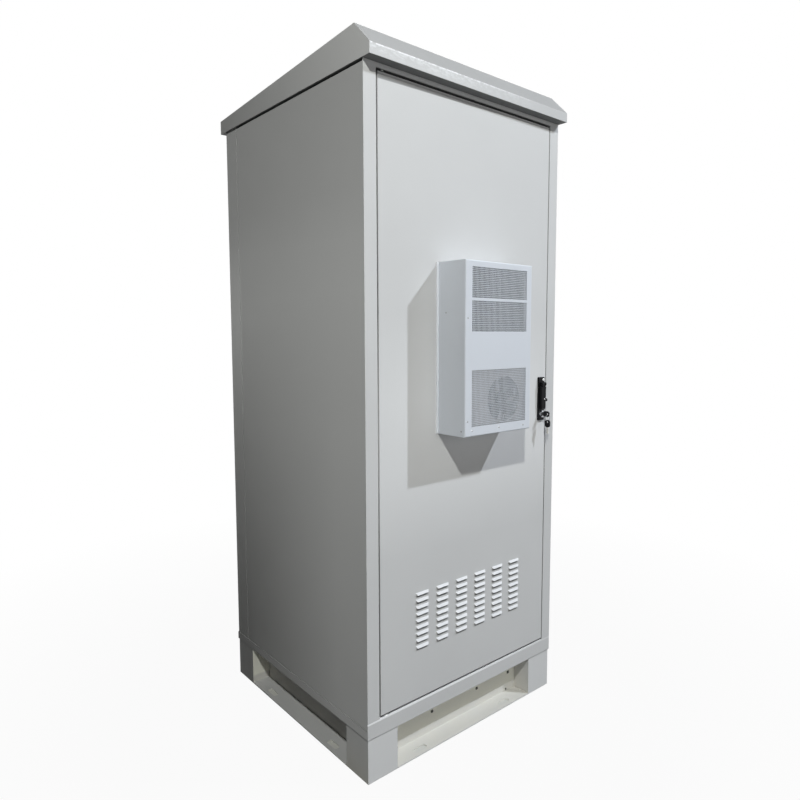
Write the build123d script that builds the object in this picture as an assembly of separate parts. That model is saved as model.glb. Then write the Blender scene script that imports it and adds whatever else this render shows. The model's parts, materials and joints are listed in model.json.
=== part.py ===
from build123d import *
import math
import os

# Roadside utility cabinet: folded steel body on a plinth, sloping roof cap, flush front door
# that carries a cooling unit, a louvre field and a swing-handle lock with two locking rods.
# Millimetres. X to the right, Y to the back, Z up. Origin: centre of the footprint, on the ground.

# Overall
width = 800.0
depth = 800.0
top_height = 1933.0
sheet = 2.0
overrun = 5.0
slide_gap = 0.3
pin_gap = 0.05

# Plinth: four corner legs, and recessed walls with a ledge for the ground anchors
plinth_height = 130.0
plinth_inset = 3.0
plinth_sheet = 3.0
leg_width = 105.0
recess = 64.0
foot_thickness = 5.0
anchor_inset = 22.0
anchor_spread = 376.0
anchor_radius = 9.0
anchor_length = 50.0
wall_flange = 25.0

# Base frame
base_band = 25.0
base_flange = 60.0
base_lip = 18.0
sill_height = 47.5

# Door opening: front stiles, rebate and the flanges that the gasket presses on
stile = 41.0
head_strip = 6.6
rebate = 34.0
seal_flange = 20.0
hinge_flange = 37.0
lock_flange = 12.0

# Body panels and rear posts
panel_inset = 2.0
panel_front_flange = 30.0
panel_rear_flange = 18.0
rear_strip = 74.0
rear_stile = 43.0
rear_return = 18.0
rear_seat = 20.0
post_return = 20.0
seam = 2.0
rear_gap = 2.0

# Ceiling plate with its vent slots
ceiling_flange = 20.0
ceiling_flange_front = 60.0
ceiling_flange_rear = 98.0
vent_length = 220.0
vent_width = 10.0
vent_pitch_x = 300.0
vent_pitch_y = 40.0
vent_columns = 2
vent_rows = 3

# Roof cap
roof_gap = 5.6
roof_front = 33.0
roof_rear = 30.0
roof_side = 3.4
fascia_front = 28.7
fascia_rear = 43.0
ridge_back = 64.3
ridge_rise = 64.7
roof_lip_front = 75.0
roof_lip = 42.0
spacer_size = 30.0
spacer_inset = 8.0

# Floor plate and the rubber grommets that close its cable entries
entry_count = 2
entry_pitch = 170.0
entry_length = 130.0
entry_width = 44.0
entry_inset = 150.0
grommet_lip = 7.0
grommet_top = 10.0
grommet_top_width = 34.0
grommet_under = 6.0

# Equipment rails
rail_spread = 444.0
rail_face = 34.0
rail_setback = 120.0
rail_step = 40.0
rail_tab = 25.0
rail_rise = 27.5
rail_drop = 31.4
rail_hole = 9.5
rail_hole_pitch = 177.8
rail_hole_count = 9
rail_hole_spread = 465.1
support_inset = 55.0
support_width = 18.0
support_height = 30.0
support_rise = 44.5
support_drop = 76.4

# Door
door_gap = 5.0
door_depth = 22.0
door_lip = 16.0
door_lip_hinge = 36.0
door_lip_lock = 46.0
gasket_width = 8.0
gasket_inset = 1.0
hinge_in = 20.0
hinge_back = 8.0
stiffener_offset = 187.0
stiffener_width = 36.0
stiffener_depth = 16.0
stiffener_rise = 357.5
stiffener_drop = 31.4
window_width = 200.0
window_rise = 330.0
window_height = 110.0
blower_window = 104.0

# Pivots that carry the door at its hinge-side corners
pivot_radius = 4.0
pivot_length = 27.0
pivot_head_width = 11.0
pivot_head = 2.0
pivot_cut = 9.0
bush_width = 24.0
bush_depth = 14.0
bush_height = 26.0

# Louvres pressed out of the door skin
louvre_width = 50.0
louvre_height = 6.5
louvre_out = 6.0
louvre_drop = 1.6
louvre_taper = 5.0
louvre_pitch_x = 80.4
louvre_pitch_z = 19.85
louvre_columns = 6
louvre_rows = 9
louvre_rise = 155.5
filter_margin = 14.0
filter_depth = 9.0
filter_rim = 12.0
filter_pocket = 3.0

# Cooling unit on the door
unit_width = 282.0
unit_rise = 777.5
unit_height = 490.0
unit_depth = 110.0
unit_sheet = 1.5
unit_flange = 7.0
unit_plate = 3.0
unit_fold = 2.0
grille_width = 232.0
grille_bar = 6.0
grille_slot = 7.2
grille_pitch = 13.1
grille_columns = 2
grille_top = 17.0
grille_upper = 86.0
grille_bridge = 8.0
grille_lower_base = 27.0
grille_lower = 152.0
coil_depth = 28.0
coil_back = 10.0
coil_height = 196.0
coil_top = 14.0
coil_fin = 1.0
coil_fin_count = 12
condenser_setback = 10.0
evaporator_setback = 75.0
shroud_setback = 8.0
shroud_plate = 3.0
shroud_top = 265.0
shroud_radius = 68.0
spoke_reach = 23.0
spoke_foot = 10.0
spoke_width = 22.0
spoke_bars = 2
fan_offset = 28.0
fan_height = 97.0
shaft_radius = 3.0
motor_radius = 27.0
motor_length = 35.0
fan_radius = 60.0
fan_hub_radius = 20.0
fan_hub_depth = 14.0
fan_clear = 3.0
blade_count = 5
blade_root_chord = 20.0
blade_tip_chord = 34.0
blade_root_pitch = 34.0
blade_tip_pitch = 18.0
blade_root_thickness = 2.0
blade_tip_thickness = 1.4
blower_radius = 46.0
blower_ring = 9.0
blower_depth = 20.0
blower_disc = 2.0
blower_hub_radius = 9.0
blower_blades = 8
blower_blade = 1.2
blower_gap = 2.0
compressor_radius = 38.0
compressor_height = 128.0
compressor_dome = 14.0
compressor_offset = 84.0
compressor_back = 44.0
compressor_foot = 3.5
compressor_foot_size = 78.0

# Lock: escutcheon, swing handle, barrel, keys and rods
lock_inset = 26.0
lock_rise = 775.5
lock_height = 145.0
lock_width = 30.0
lock_plate = 6.0
lock_corner = 2.0
lock_body_width = 20.0
lock_body_height = 44.0
swivel_rise = 122.0
spindle_radius = 6.0
fork_base = 1.5
cheek_radius = 6.0
cheek_inner = 6.8
cheek_outer = 9.8
lift_out = 6.6
lift_pin_radius = 1.5
nose_radius = 4.3
nose_width = 13.0
handle_width = 25.0
handle_tip_width = 21.0
handle_length = 84.0
handle_shoulder = 9.0
handle_bevel = 2.0
cam_wall = 5.0
cam_thickness = 5.0
cam_throw = 8.0
cam_angle = 45.0
cam_pin_radius = 2.5
cam_standoff = 34.0
slot_play = 0.6
lock_rod_width = 12.0
lock_rod_thickness = 4.0
lock_rod_side = 7.0
lock_rod_end = 5.0
lock_rod_short = 2.0
guide_wall = 2.0
guide_height = 16.0
guide_inset = 45.0
guide_from_lock = 150.0
barrel_rise = 22.0
barrel_radius = 12.0
barrel_cut = 26.0
barrel_out = 7.0
barrel_in = 14.0
plug_radius = 8.0
plug_out = 0.6
key_head_length = 25.0
key_head_width = 20.0
key_head_thickness = 5.0
key_corner = 6.0
key_blade_width = 7.0
key_blade_thickness = 2.0
key_blade_length = 22.0
key_gap = 0.2
key_hole_radius = 3.5
key_hole_sides = 8
key_hole_inset = 6.5
key_standoff = 1.0
ring_radius = 11.0
ring_wire = 0.9
ring_sides = 16
ring_play = 0.9

# Places worked out from the sizes above
front = -depth / 2
back = depth / 2
side = width / 2
plinth_side = side - plinth_inset
plinth_back = back - plinth_inset
panel_side = side - panel_inset
panel_back = back - panel_inset
entry_back = back - entry_inset
base_top = plinth_height + base_band
sill = plinth_height + sill_height
head = top_height - head_strip
ceiling = top_height - sheet
roof_low = top_height + roof_gap
opening_half = side - stile
seal = front + rebate
seal_left = -opening_half + hinge_flange
seal_right = opening_half - lock_flange
door_half = opening_half - door_gap
door_low = sill + door_gap
door_high = head - door_gap
door_back = front + door_depth
skin_back = front + sheet
axis_x = -door_half + hinge_in
axis_y = front + hinge_back
rail_bottom = sill + rail_rise
rail_top = head - rail_drop
support_low = sill + support_rise
support_high = head - support_drop
stiffener_low = door_low + stiffener_rise
stiffener_high = door_high - stiffener_drop
louvre_low = door_low + louvre_rise
louvre_field_height = (louvre_rows - 1) * louvre_pitch_z + louvre_height
louvre_middle = louvre_low + louvre_field_height / 2
unit_half = unit_width / 2
unit_low = door_low + unit_rise
unit_top = unit_low + unit_height
window_low = unit_low + window_rise
window_high = window_low + window_height
unit_front = front - unit_depth
unit_plate_front = front - unit_plate
unit_inner = unit_half - unit_sheet
fan_z = unit_low + fan_height
shroud_front = unit_front + shroud_setback
spoke_back = shroud_front + spoke_reach
motor_back = spoke_back + motor_length
lock_offset = door_half - lock_inset
lock_low = door_low + lock_rise
swivel_height = lock_low + swivel_rise
barrel_height = lock_low + barrel_rise
plate_front = front - lock_plate
hub_face = plate_front - slide_gap - fork_base
lift_y = plate_front - lift_out
cam_front = front + cam_standoff
rod_front = cam_front + cam_thickness + cam_pin_radius
pin_rise = cam_throw * math.sin(math.radians(cam_angle))
parts = {}


def slab(x_span, y_span, z_span):
    """Block between a low and a high limit on each axis."""
    spans = (x_span, y_span, z_span)
    low = [span[0] for span in spans]
    size = [span[1] - span[0] for span in spans]
    return Pos(*low) * Box(*size, align=(Align.MIN, Align.MIN, Align.MIN))


def around(middle, length):
    """Span of a length about its middle."""
    return middle - length / 2, middle + length / 2


def drum(x, z, radius, y_span):
    """Cylinder along Y between two limits."""
    body = Cylinder(radius, y_span[1] - y_span[0], align=(Align.CENTER, Align.CENTER, Align.MIN))
    return Pos(x, y_span[0], z) * Rot(-90, 0, 0) * body


def column(x, y, radius, z_span):
    """Cylinder along Z between two limits."""
    body = Cylinder(radius, z_span[1] - z_span[0], align=(Align.CENTER, Align.CENTER, Align.MIN))
    return Pos(x, y, z_span[0]) * body


def axle(y, z, radius, x_span):
    """Cylinder along X between two limits."""
    body = Cylinder(radius, x_span[1] - x_span[0], align=(Align.CENTER, Align.CENTER, Align.MIN))
    return Pos(x_span[0], y, z) * Rot(0, 90, 0) * body


def sheet_face(points, thickness):
    """Section of a folded sheet: the outside line of its folds, thickened to the left."""
    normals = []
    for (ax, ay), (bx, by) in zip(points, points[1:]):
        run = math.hypot(bx - ax, by - ay)
        normals.append((-(by - ay) / run, (bx - ax) / run))
    inside = []
    for index, (x, y) in enumerate(points):
        before = normals[max(index - 1, 0)]
        after = normals[min(index, len(normals) - 1)]
        reach = thickness / (1 + before[0] * after[0] + before[1] * after[1])
        inside.append((x + reach * (before[0] + after[0]), y + reach * (before[1] + after[1])))
    return make_face(Polyline(*points, *reversed(inside), close=True))


def upright(points, thickness, z_span):
    """Folded sheet with its section in plan, running along Z."""
    return extrude(Pos(0, 0, z_span[0]) * sheet_face(points, thickness), z_span[1] - z_span[0])


def crosswise(points, thickness, x_span):
    """Folded sheet with its section in Y and Z, running along X."""
    plane = Plane.YZ.offset(x_span[0])
    return extrude(plane * sheet_face(points, thickness), x_span[1] - x_span[0])


def lengthwise(points, thickness, y_span):
    """Folded sheet with its section in X and Z, running along Y."""
    plane = Plane.XZ.offset(-y_span[1])
    return extrude(plane * sheet_face(points, thickness), y_span[1] - y_span[0])


def plan_prism(points, z_span):
    """Flat outline in plan, raised between two heights."""
    return extrude(Pos(0, 0, z_span[0]) * make_face(Polyline(*points, close=True)), z_span[1] - z_span[0])


def flipped(shape):
    """The same piece on the other side of the cabinet."""
    return mirror(shape, about=Plane.YZ)


def reversed_depth(shape):
    """The same piece at the other end of the cabinet's depth."""
    return mirror(shape, about=Plane.XZ)


def plinth_leg():
    """Front left corner leg: a folded corner with a foot and a head plate."""
    inner_x = -plinth_side + leg_width
    inner_y = -plinth_back + leg_width
    fold = [
        (-plinth_side + recess, inner_y),
        (-plinth_side, inner_y),
        (-plinth_side, -plinth_back),
        (inner_x, -plinth_back),
        (inner_x, -plinth_back + recess),
    ]
    leg = upright(fold, plinth_sheet, (0, plinth_height))
    plan = ((-plinth_side, inner_x), (-plinth_back, inner_y))
    leg += slab(*plan, (0, foot_thickness))
    return leg + slab(*plan, (plinth_height - foot_thickness, plinth_height))


def anchor_slot():
    """Cut for one ground anchor, long in X, about the origin."""
    half = anchor_length / 2 - anchor_radius
    through = (-overrun, plinth_sheet + overrun)
    cut = slab((-half, half), (-anchor_radius, anchor_radius), through)
    return cut + column(-half, 0, anchor_radius, through) + column(half, 0, anchor_radius, through)


def plain_anchor_slot():
    """Cut for a side ledge, long in Y, its ends bevelled."""
    cut = Rectangle(2 * anchor_radius, anchor_length)
    cut = chamfer(cut.vertices(), anchor_radius / 2)
    return extrude(Pos(0, 0, -overrun) * cut, plinth_sheet + 2 * overrun)


def add_plinth():
    leg = plinth_leg()
    parts["plinth_leg_front_left"] = leg
    parts["plinth_leg_front_right"] = flipped(leg)
    parts["plinth_leg_rear_left"] = reversed_depth(leg)
    parts["plinth_leg_rear_right"] = flipped(reversed_depth(leg))
    wall_y = -plinth_back + recess
    fold = [
        (wall_y + wall_flange, plinth_height),
        (wall_y, plinth_height),
        (wall_y, plinth_sheet),
        (-plinth_back, plinth_sheet),
    ]
    reach = plinth_side - leg_width
    places = (-anchor_spread / 2, anchor_spread / 2)
    front_wall = crosswise(fold, plinth_sheet, (-reach, reach))
    front_wall -= [Pos(x, -plinth_back + anchor_inset, 0) * anchor_slot() for x in places]
    parts["plinth_wall_front"] = front_wall
    parts["plinth_wall_rear"] = reversed_depth(front_wall)
    wall_x = -plinth_side + recess
    side_fold = [
        (wall_x + wall_flange, plinth_height),
        (wall_x, plinth_height),
        (wall_x, plinth_sheet),
        (-plinth_side, plinth_sheet),
    ]
    side_reach = plinth_back - leg_width
    side_wall = lengthwise(side_fold, plinth_sheet, (-side_reach, side_reach))
    side_wall -= [Pos(-plinth_side + anchor_inset, y, 0) * plain_anchor_slot() for y in places]
    parts["plinth_wall_left"] = side_wall
    parts["plinth_wall_right"] = flipped(side_wall)


def mitre_front(z_span):
    """Space of the front base rail, mitred at its two corners."""
    inner_x = side - base_flange
    inner_y = front + base_flange
    return plan_prism([(-side, front), (side, front), (inner_x, inner_y), (-inner_x, inner_y)], z_span)


def mitre_left(z_span):
    """Space of the left base rail, mitred at its two corners."""
    inner_x = -side + base_flange
    inner_y = back - base_flange
    return plan_prism([(-side, back), (-side, front), (inner_x, -inner_y), (inner_x, inner_y)], z_span)


def add_base_frame():
    band = (plinth_height, base_top)
    fold = [
        (seal, sill + seal_flange),
        (seal, sill),
        (front, sill),
        (front, plinth_height),
        (front + base_flange, plinth_height),
    ]
    face_zone = slab((-side, side), (front, skin_back), (base_top, sill))
    sill_zone = slab((-opening_half, opening_half), (skin_back, seal + sheet), (base_top, sill))
    seal_zone = slab((seal_left, seal_right), (seal, seal + sheet), (sill, sill + seal_flange))
    zone = mitre_front(band) + face_zone + sill_zone + seal_zone
    parts["base_rail_front"] = crosswise(fold, sheet, (-side, side)) & zone

    rear_fold = [
        (back - base_flange, plinth_height),
        (back, plinth_height),
        (back, base_top),
        (back - base_lip, base_top),
    ]
    rear = crosswise(rear_fold, sheet, (-side, side)) & reversed_depth(mitre_front(band))
    parts["base_rail_rear"] = rear

    side_fold = [
        (-side + base_lip, base_top),
        (-side, base_top),
        (-side, plinth_height),
        (-side + base_flange, plinth_height),
    ]
    left = lengthwise(side_fold, sheet, (front, back)) & mitre_left(band)
    parts["base_rail_left"] = left
    parts["base_rail_right"] = flipped(left)


def grommet():
    """Rubber block whose grooves grip the long edges of a cable entry."""
    floor = plinth_height + sheet
    shelf = floor + sheet
    neck = entry_width / 2
    lip = neck + grommet_lip
    right = [
        (lip, floor - grommet_under),
        (lip, floor),
        (neck, floor),
        (neck, shelf),
        (lip, shelf),
        (grommet_top_width / 2, shelf + grommet_top),
    ]
    left = [(-y, z) for y, z in reversed(right)]
    section = make_face(Polyline(*right, *left, close=True))
    return extrude(Plane.YZ.offset(-entry_length / 2) * section, entry_length)


def add_floor():
    floor = plinth_height + sheet
    reach_x = panel_side - sheet
    reach_y = panel_back - sheet
    plate = slab((-reach_x, reach_x), (-reach_y, reach_y), (floor, floor + sheet))
    middle = (entry_count - 1) / 2
    grommets = []
    for index in range(entry_count):
        x = (index - middle) * entry_pitch
        through = (floor - overrun, floor + overrun)
        plate -= slab(around(x, entry_length), around(entry_back, entry_width), through)
        grommets.append((Pos(x, entry_back, 0) * grommet()).solid())
    parts["floor_plate"] = plate
    parts["cable_grommets"] = Compound(grommets)


def ceiling_space():
    """Space that the ceiling plate takes up, cut out of the tops of posts and panels."""
    reach = panel_side - sheet
    return slab((-reach, reach), (skin_back, panel_back - sheet), (ceiling, roof_low + overrun))


def front_post(flange):
    """Left front post: stile, rebate and the flange behind the door's edge."""
    fold = [(-side, front), (-opening_half, front), (-opening_half, seal), (-opening_half + flange, seal)]
    post = upright(fold, sheet, (sill, head))
    post += upright(fold[:-1], sheet, (head, roof_low))
    return post - ceiling_space()


def rear_post():
    """Left rear post: side strip, rear stile and the seat of the rear panel."""
    inner_x = -side + rear_stile
    strip_front = panel_back - rear_strip
    fold = [
        (inner_x + rear_seat, panel_back - rear_return),
        (inner_x, panel_back - rear_return),
        (inner_x, panel_back),
        (-panel_side, panel_back),
        (-panel_side, strip_front),
        (-panel_side + post_return, strip_front),
    ]
    return upright(fold, sheet, (base_top, roof_low)) - ceiling_space()


def side_panel():
    """Left side panel, folded in at the front and at the rear seam."""
    rear_edge = panel_back - rear_strip - seam
    fold = [
        (-panel_side + panel_rear_flange, rear_edge),
        (-panel_side, rear_edge),
        (-panel_side, skin_back),
        (-panel_side + panel_front_flange, skin_back),
    ]
    return upright(fold, sheet, (base_top, top_height)) - ceiling_space()


def add_body():
    parts["front_post_left"] = front_post(hinge_flange)
    parts["front_post_right"] = flipped(front_post(lock_flange))
    parts["rear_post_left"] = rear_post()
    parts["rear_post_right"] = flipped(rear_post())
    parts["side_panel_left"] = side_panel()
    parts["side_panel_right"] = flipped(side_panel())

    reach = side - rear_stile - rear_gap
    heights = (base_top + rear_gap, ceiling - rear_gap)
    pan = slab((-reach, reach), (panel_back - rear_return, panel_back), heights)
    inner = (heights[0] + sheet, heights[1] - sheet)
    hollow_y = (panel_back - rear_return - overrun, panel_back - sheet)
    parts["rear_panel"] = pan - slab((-reach + sheet, reach - sheet), hollow_y, inner)

    fold = [(front, roof_low), (front, head), (seal, head), (seal, head - seal_flange)]
    rail = crosswise(fold, sheet, (-opening_half, opening_half))
    below = (head - seal_flange - overrun, head)
    rail -= slab((-side, seal_left), (front, seal + overrun), below)
    rail -= slab((seal_right, side), (front, seal + overrun), below)
    parts["head_rail"] = rail - column(axis_x, axis_y, pivot_radius + pin_gap, around(head, 2 * overrun))


def add_ceiling():
    reach = panel_side - sheet
    ends = (skin_back, panel_back - sheet)
    fold = [
        (reach, ceiling - ceiling_flange),
        (reach, top_height),
        (-reach, top_height),
        (-reach, ceiling - ceiling_flange),
    ]
    plate = lengthwise(fold, sheet, ends)
    low = (ceiling - ceiling_flange - overrun, ceiling)
    plate -= slab((-side, side), (front, front + ceiling_flange_front), low)
    plate -= slab((-side, side), (back - ceiling_flange_rear, back), low)
    slot = Box(vent_length, vent_width, 2 * sheet + overrun)
    for place in GridLocations(vent_pitch_x, vent_pitch_y, vent_columns, vent_rows):
        plate -= Pos(0, 0, ceiling) * place * slot
    parts["ceiling_plate"] = plate


def add_roof():
    fascia = front - roof_front
    tail = back + roof_rear
    reach = side + roof_side
    outline = [
        (fascia, roof_low),
        (fascia, roof_low + fascia_front),
        (fascia + ridge_back, roof_low + fascia_front + ridge_rise),
        (tail, roof_low + fascia_rear),
        (tail, roof_low),
    ]
    profile = make_face(Polyline(*outline, close=True))
    cavity = offset(profile, amount=-sheet, kind=Kind.INTERSECTION)
    cap = extrude(Plane.YZ.offset(-reach) * profile, 2 * reach)
    cap -= extrude(Plane.YZ.offset(-reach + sheet) * cavity, 2 * (reach - sheet))
    mouth = reach - roof_lip
    mouth_y = (fascia + roof_lip_front, tail - roof_lip)
    parts["roof_cap"] = cap - slab((-mouth, mouth), mouth_y, (roof_low - overrun, roof_low + sheet))
    edge = panel_side - sheet - spacer_inset
    rear_edge = panel_back - sheet
    spacers = []
    for x in (-edge, edge - spacer_size):
        for y in (fascia + roof_lip_front - spacer_size, rear_edge - spacer_size):
            spacers.append(slab((x, x + spacer_size), (y, y + spacer_size), (top_height, roof_low)).solid())
    parts["roof_spacers"] = Compound(spacers)


def rack_rail():
    """Front left equipment rail with its row of square holes."""
    inner = -rail_spread / 2
    outer = inner - rail_face
    face_y = front + rail_setback
    bar = -side + support_inset
    fold = [
        (bar, face_y + rail_step + rail_tab),
        (bar, face_y + rail_step),
        (outer, face_y + rail_step),
        (outer, face_y),
        (inner, face_y),
    ]
    rail = upright(fold, sheet, (rail_bottom, rail_top))
    hole = Box(rail_hole, sheet + 2 * overrun, rail_hole)
    middle = (rail_bottom + rail_top) / 2
    first = middle - (rail_hole_count - 1) * rail_hole_pitch / 2
    heights = [first + n * rail_hole_pitch for n in range(rail_hole_count)]
    return rail - [Pos(-rail_hole_spread / 2, face_y, z) * hole for z in heights]


def add_rails():
    rail = rack_rail()
    parts["rack_rail_front_left"] = rail
    parts["rack_rail_front_right"] = flipped(rail)
    parts["rack_rail_rear_left"] = reversed_depth(rail)
    parts["rack_rail_rear_right"] = flipped(reversed_depth(rail))
    inner = -side + support_inset
    outer = inner - support_width
    ends = (seal + sheet, panel_back - rear_return - sheet)
    bars = []
    for low in (support_low, support_high):
        high = low + support_height
        fold = [(outer, low), (inner, low), (inner, high), (outer, high)]
        bar = lengthwise(fold, sheet, ends)
        bars += [bar.solid(), flipped(bar).solid()]
    parts["rail_supports"] = Compound(bars)


def louvre_prism(section, half_width):
    """Louvre section run along X, its ends drawn in towards the lip."""
    run = extrude(Plane.YZ.offset(-half_width) * make_face(Polyline(*section, close=True)), 2 * half_width)
    deep = sheet + overrun
    ends = [
        (-half_width, deep),
        (-half_width, 0),
        (-half_width + louvre_taper, -louvre_out),
        (half_width - louvre_taper, -louvre_out),
        (half_width, 0),
        (half_width, deep),
    ]
    return run & plan_prism(ends, (0, louvre_height))


def louvre_places():
    field = GridLocations(louvre_pitch_x, louvre_pitch_z, louvre_columns, louvre_rows)
    low = louvre_middle - louvre_height / 2
    return [Pos(place.position.X, front, low + place.position.Y) for place in field]


def louvre_hood():
    """Outside of one louvre, its foot on the door's front face."""
    section = [(0, louvre_height), (-louvre_out, 0), (0, 0)]
    return louvre_prism(section, louvre_width / 2)


def louvre_throat():
    """Air way of one louvre, from its open bottom through the door skin."""
    rise = louvre_height - louvre_drop
    mouth = louvre_out * rise / louvre_height
    section = [(sheet, 0), (sheet, rise), (0, rise), (-mouth, 0)]
    return louvre_prism(section, louvre_width / 2 - louvre_drop)


def add_door():
    pan = slab((-door_half, door_half), (front, door_back), (door_low, door_high))
    pan -= slab(
        (-door_half + sheet, door_half - sheet),
        (skin_back, door_back - sheet),
        (door_low + sheet, door_high - sheet),
    )
    pan -= slab(
        (-door_half + door_lip_hinge, door_half - door_lip_lock),
        (door_back - sheet, door_back + overrun),
        (door_low + door_lip, door_high - door_lip),
    )
    skin = (front - overrun, skin_back + sheet)
    pan -= slab(around(0, window_width), skin, (window_low, window_high))
    pan -= slab(around(fan_offset, blower_window), skin, around(fan_z, blower_window))
    body = lock_body_width + 2 * slide_gap
    tall = lock_body_height + 2 * slide_gap
    through = (front - overrun, door_back + overrun)
    pan -= slab(around(lock_offset, body), through, around(swivel_height, tall))
    pan -= slab(around(lock_offset, barrel_cut), skin, around(barrel_height, barrel_cut))
    for height in (door_low, door_high):
        pan -= slab(around(axis_x, pivot_cut), around(axis_y, pivot_cut), around(height, 2 * overrun))
    pan += [place * louvre_hood() for place in louvre_places()]
    pan -= [place * louvre_throat() for place in louvre_places()]
    parts["door_panel"] = pan

    inner = stiffener_offset - stiffener_width / 2
    outer = stiffener_offset + stiffener_width / 2
    fold = [
        (-inner, skin_back),
        (-inner, skin_back + stiffener_depth),
        (-outer, skin_back + stiffener_depth),
        (-outer, skin_back),
    ]
    stiffener = upright(fold, sheet, (stiffener_low, stiffener_high))
    parts["door_stiffener_left"] = stiffener
    parts["door_stiffener_right"] = flipped(stiffener)

    reach = (door_back, seal - slide_gap)
    right = door_half - gasket_inset
    low = door_low + gasket_inset
    high = door_high - gasket_inset
    ring = slab((axis_x, right), reach, (low, high))
    parts["door_gasket"] = ring - slab(
        (axis_x + gasket_width, right - gasket_width),
        (door_back - overrun, seal + overrun),
        (low + gasket_width, high - gasket_width),
    )

    field = (louvre_columns - 1) * louvre_pitch_x + louvre_width + 2 * filter_margin
    tall = louvre_field_height + 2 * filter_margin
    tray = slab(around(0, field), (skin_back, skin_back + filter_depth), around(louvre_middle, tall))
    pocket = (skin_back + filter_depth - filter_pocket, skin_back + filter_depth + overrun)
    rim = 2 * filter_rim
    parts["louvre_filter"] = tray - slab(around(0, field - rim), pocket, around(louvre_middle, tall - rim))


def add_pivots():
    plan = (around(axis_x, pivot_head_width), around(axis_y, pivot_head_width))
    seat = head + sheet
    top = slab(*plan, (seat, seat + pivot_head))
    parts["pivot_top"] = top + column(axis_x, axis_y, pivot_radius, (seat - pivot_length, seat))
    collar = slab(*plan, (sill, door_low - slide_gap))
    parts["pivot_bottom"] = collar + column(axis_x, axis_y, pivot_radius, (sill, sill + pivot_length))
    spans = (around(axis_x, bush_width), (skin_back, skin_back + bush_depth))
    bushes = []
    for low in (door_low + sheet, door_high - sheet - bush_height):
        bush = slab(*spans, (low, low + bush_height))
        bush -= column(axis_x, axis_y, pivot_radius + pin_gap, (low - overrun, low + bush_height + overrun))
        bushes.append(bush.solid())
    parts["pivot_bushes"] = Compound(bushes)


def grille_slots(low, height):
    """Rows of slots of one grille field, as many as its height holds, from its lower edge up."""
    rows = 1 + int((height - grille_slot) / grille_pitch)
    slot_width = (grille_width - (grille_columns - 1) * grille_bar) / grille_columns
    slot = Box(slot_width, unit_sheet + overrun, grille_slot)
    middle = low + (rows - 1) * grille_pitch / 2 + grille_slot / 2
    field = GridLocations(slot_width + grille_bar, grille_pitch, grille_columns, rows)
    return [Pos(place.position.X, unit_front, middle + place.position.Y) * slot for place in field]


def unit_cover():
    """Folded cover of the cooling unit with its three grille fields."""
    box = slab((-unit_half, unit_half), (unit_front, unit_plate_front), (unit_low, unit_top))
    front_edges = box.faces().sort_by(Axis.Y)[0].edges()
    box = chamfer(front_edges, unit_fold)
    box -= slab(
        (-unit_inner, unit_inner),
        (unit_front + unit_sheet, unit_plate_front + overrun),
        (unit_low + unit_sheet, unit_top - unit_sheet),
    )
    first = unit_top - grille_top - grille_upper
    second = first - grille_bridge - grille_upper
    slots = grille_slots(first, grille_upper) + grille_slots(second, grille_upper)
    slots += grille_slots(unit_low + grille_lower_base, grille_lower)
    return box - slots


def coil(y_front):
    """Finned heat exchanger across the unit, fins to the front."""
    top = unit_top - coil_top
    heights = (top - coil_height, top)
    y_back = y_front + coil_depth
    block = slab((-unit_inner, unit_inner), (y_back - coil_back, y_back), heights)
    reach = grille_width / 2
    pitch = 2 * reach / (coil_fin_count - 1)
    fin_y = (y_front, y_back - coil_back)
    block += [slab(around(n * pitch - reach, coil_fin), fin_y, heights) for n in range(coil_fin_count)]
    return block


def fan_shroud():
    """Plate with the fan's opening, and a cross of spokes behind it that holds the motor."""
    plate_y = (shroud_front, shroud_front + shroud_plate)
    heights = (unit_low + unit_sheet, unit_low + shroud_top)
    shroud = slab((-unit_inner, unit_inner), plate_y, heights)
    shroud -= drum(fan_offset, fan_z, shroud_radius, (shroud_front - overrun, plate_y[1] + overrun))
    reach = shroud_radius + spoke_foot
    foot_back = plate_y[1] + shroud_plate
    fold = [
        (reach, foot_back),
        (shroud_radius, foot_back),
        (shroud_radius, spoke_back),
        (-shroud_radius, spoke_back),
        (-shroud_radius, foot_back),
        (-reach, foot_back),
    ]
    spoke = upright(fold, shroud_plate, around(0, spoke_width))
    for turn in range(spoke_bars):
        shroud += Pos(fan_offset, 0, fan_z) * Rot(0, turn * 180 / spoke_bars, 0) * spoke
    eye = 2 * (shaft_radius + fan_clear)
    opening = (spoke_back - shroud_plate - overrun, spoke_back + overrun)
    return shroud - slab(around(fan_offset, eye), opening, around(fan_z, eye))


def fan_impeller():
    """Axial fan: a hub with pitched, tapering blades, turned about Y."""
    middle = spoke_back - shroud_plate - fan_clear - fan_hub_depth / 2
    hub = drum(0, 0, fan_hub_radius, around(0, fan_hub_depth))

    def section(radius, pitch, chord, thickness):
        slope = math.radians(pitch)
        plane = Plane(origin=(0, 0, radius), x_dir=(math.cos(slope), math.sin(slope), 0), z_dir=(0, 0, 1))
        return plane * Rectangle(chord, thickness)

    root = fan_hub_radius * math.cos(math.pi / blade_count)
    blade = loft([
        section(root, blade_root_pitch, blade_root_chord, blade_root_thickness),
        section(fan_radius, blade_tip_pitch, blade_tip_chord, blade_tip_thickness),
    ], ruled=True)
    hub += [Rot(0, n * 360 / blade_count, 0) * blade for n in range(blade_count)]
    return Pos(fan_offset, middle, fan_z) * hub


def wheel_plate(radius, y_span):
    """Many-sided plate across the blower wheel, one corner to a blade."""
    outline = Pos(0, y_span[1], 0) * (Plane.XZ * RegularPolygon(radius, blower_blades))
    return extrude(outline, y_span[1] - y_span[0])


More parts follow.
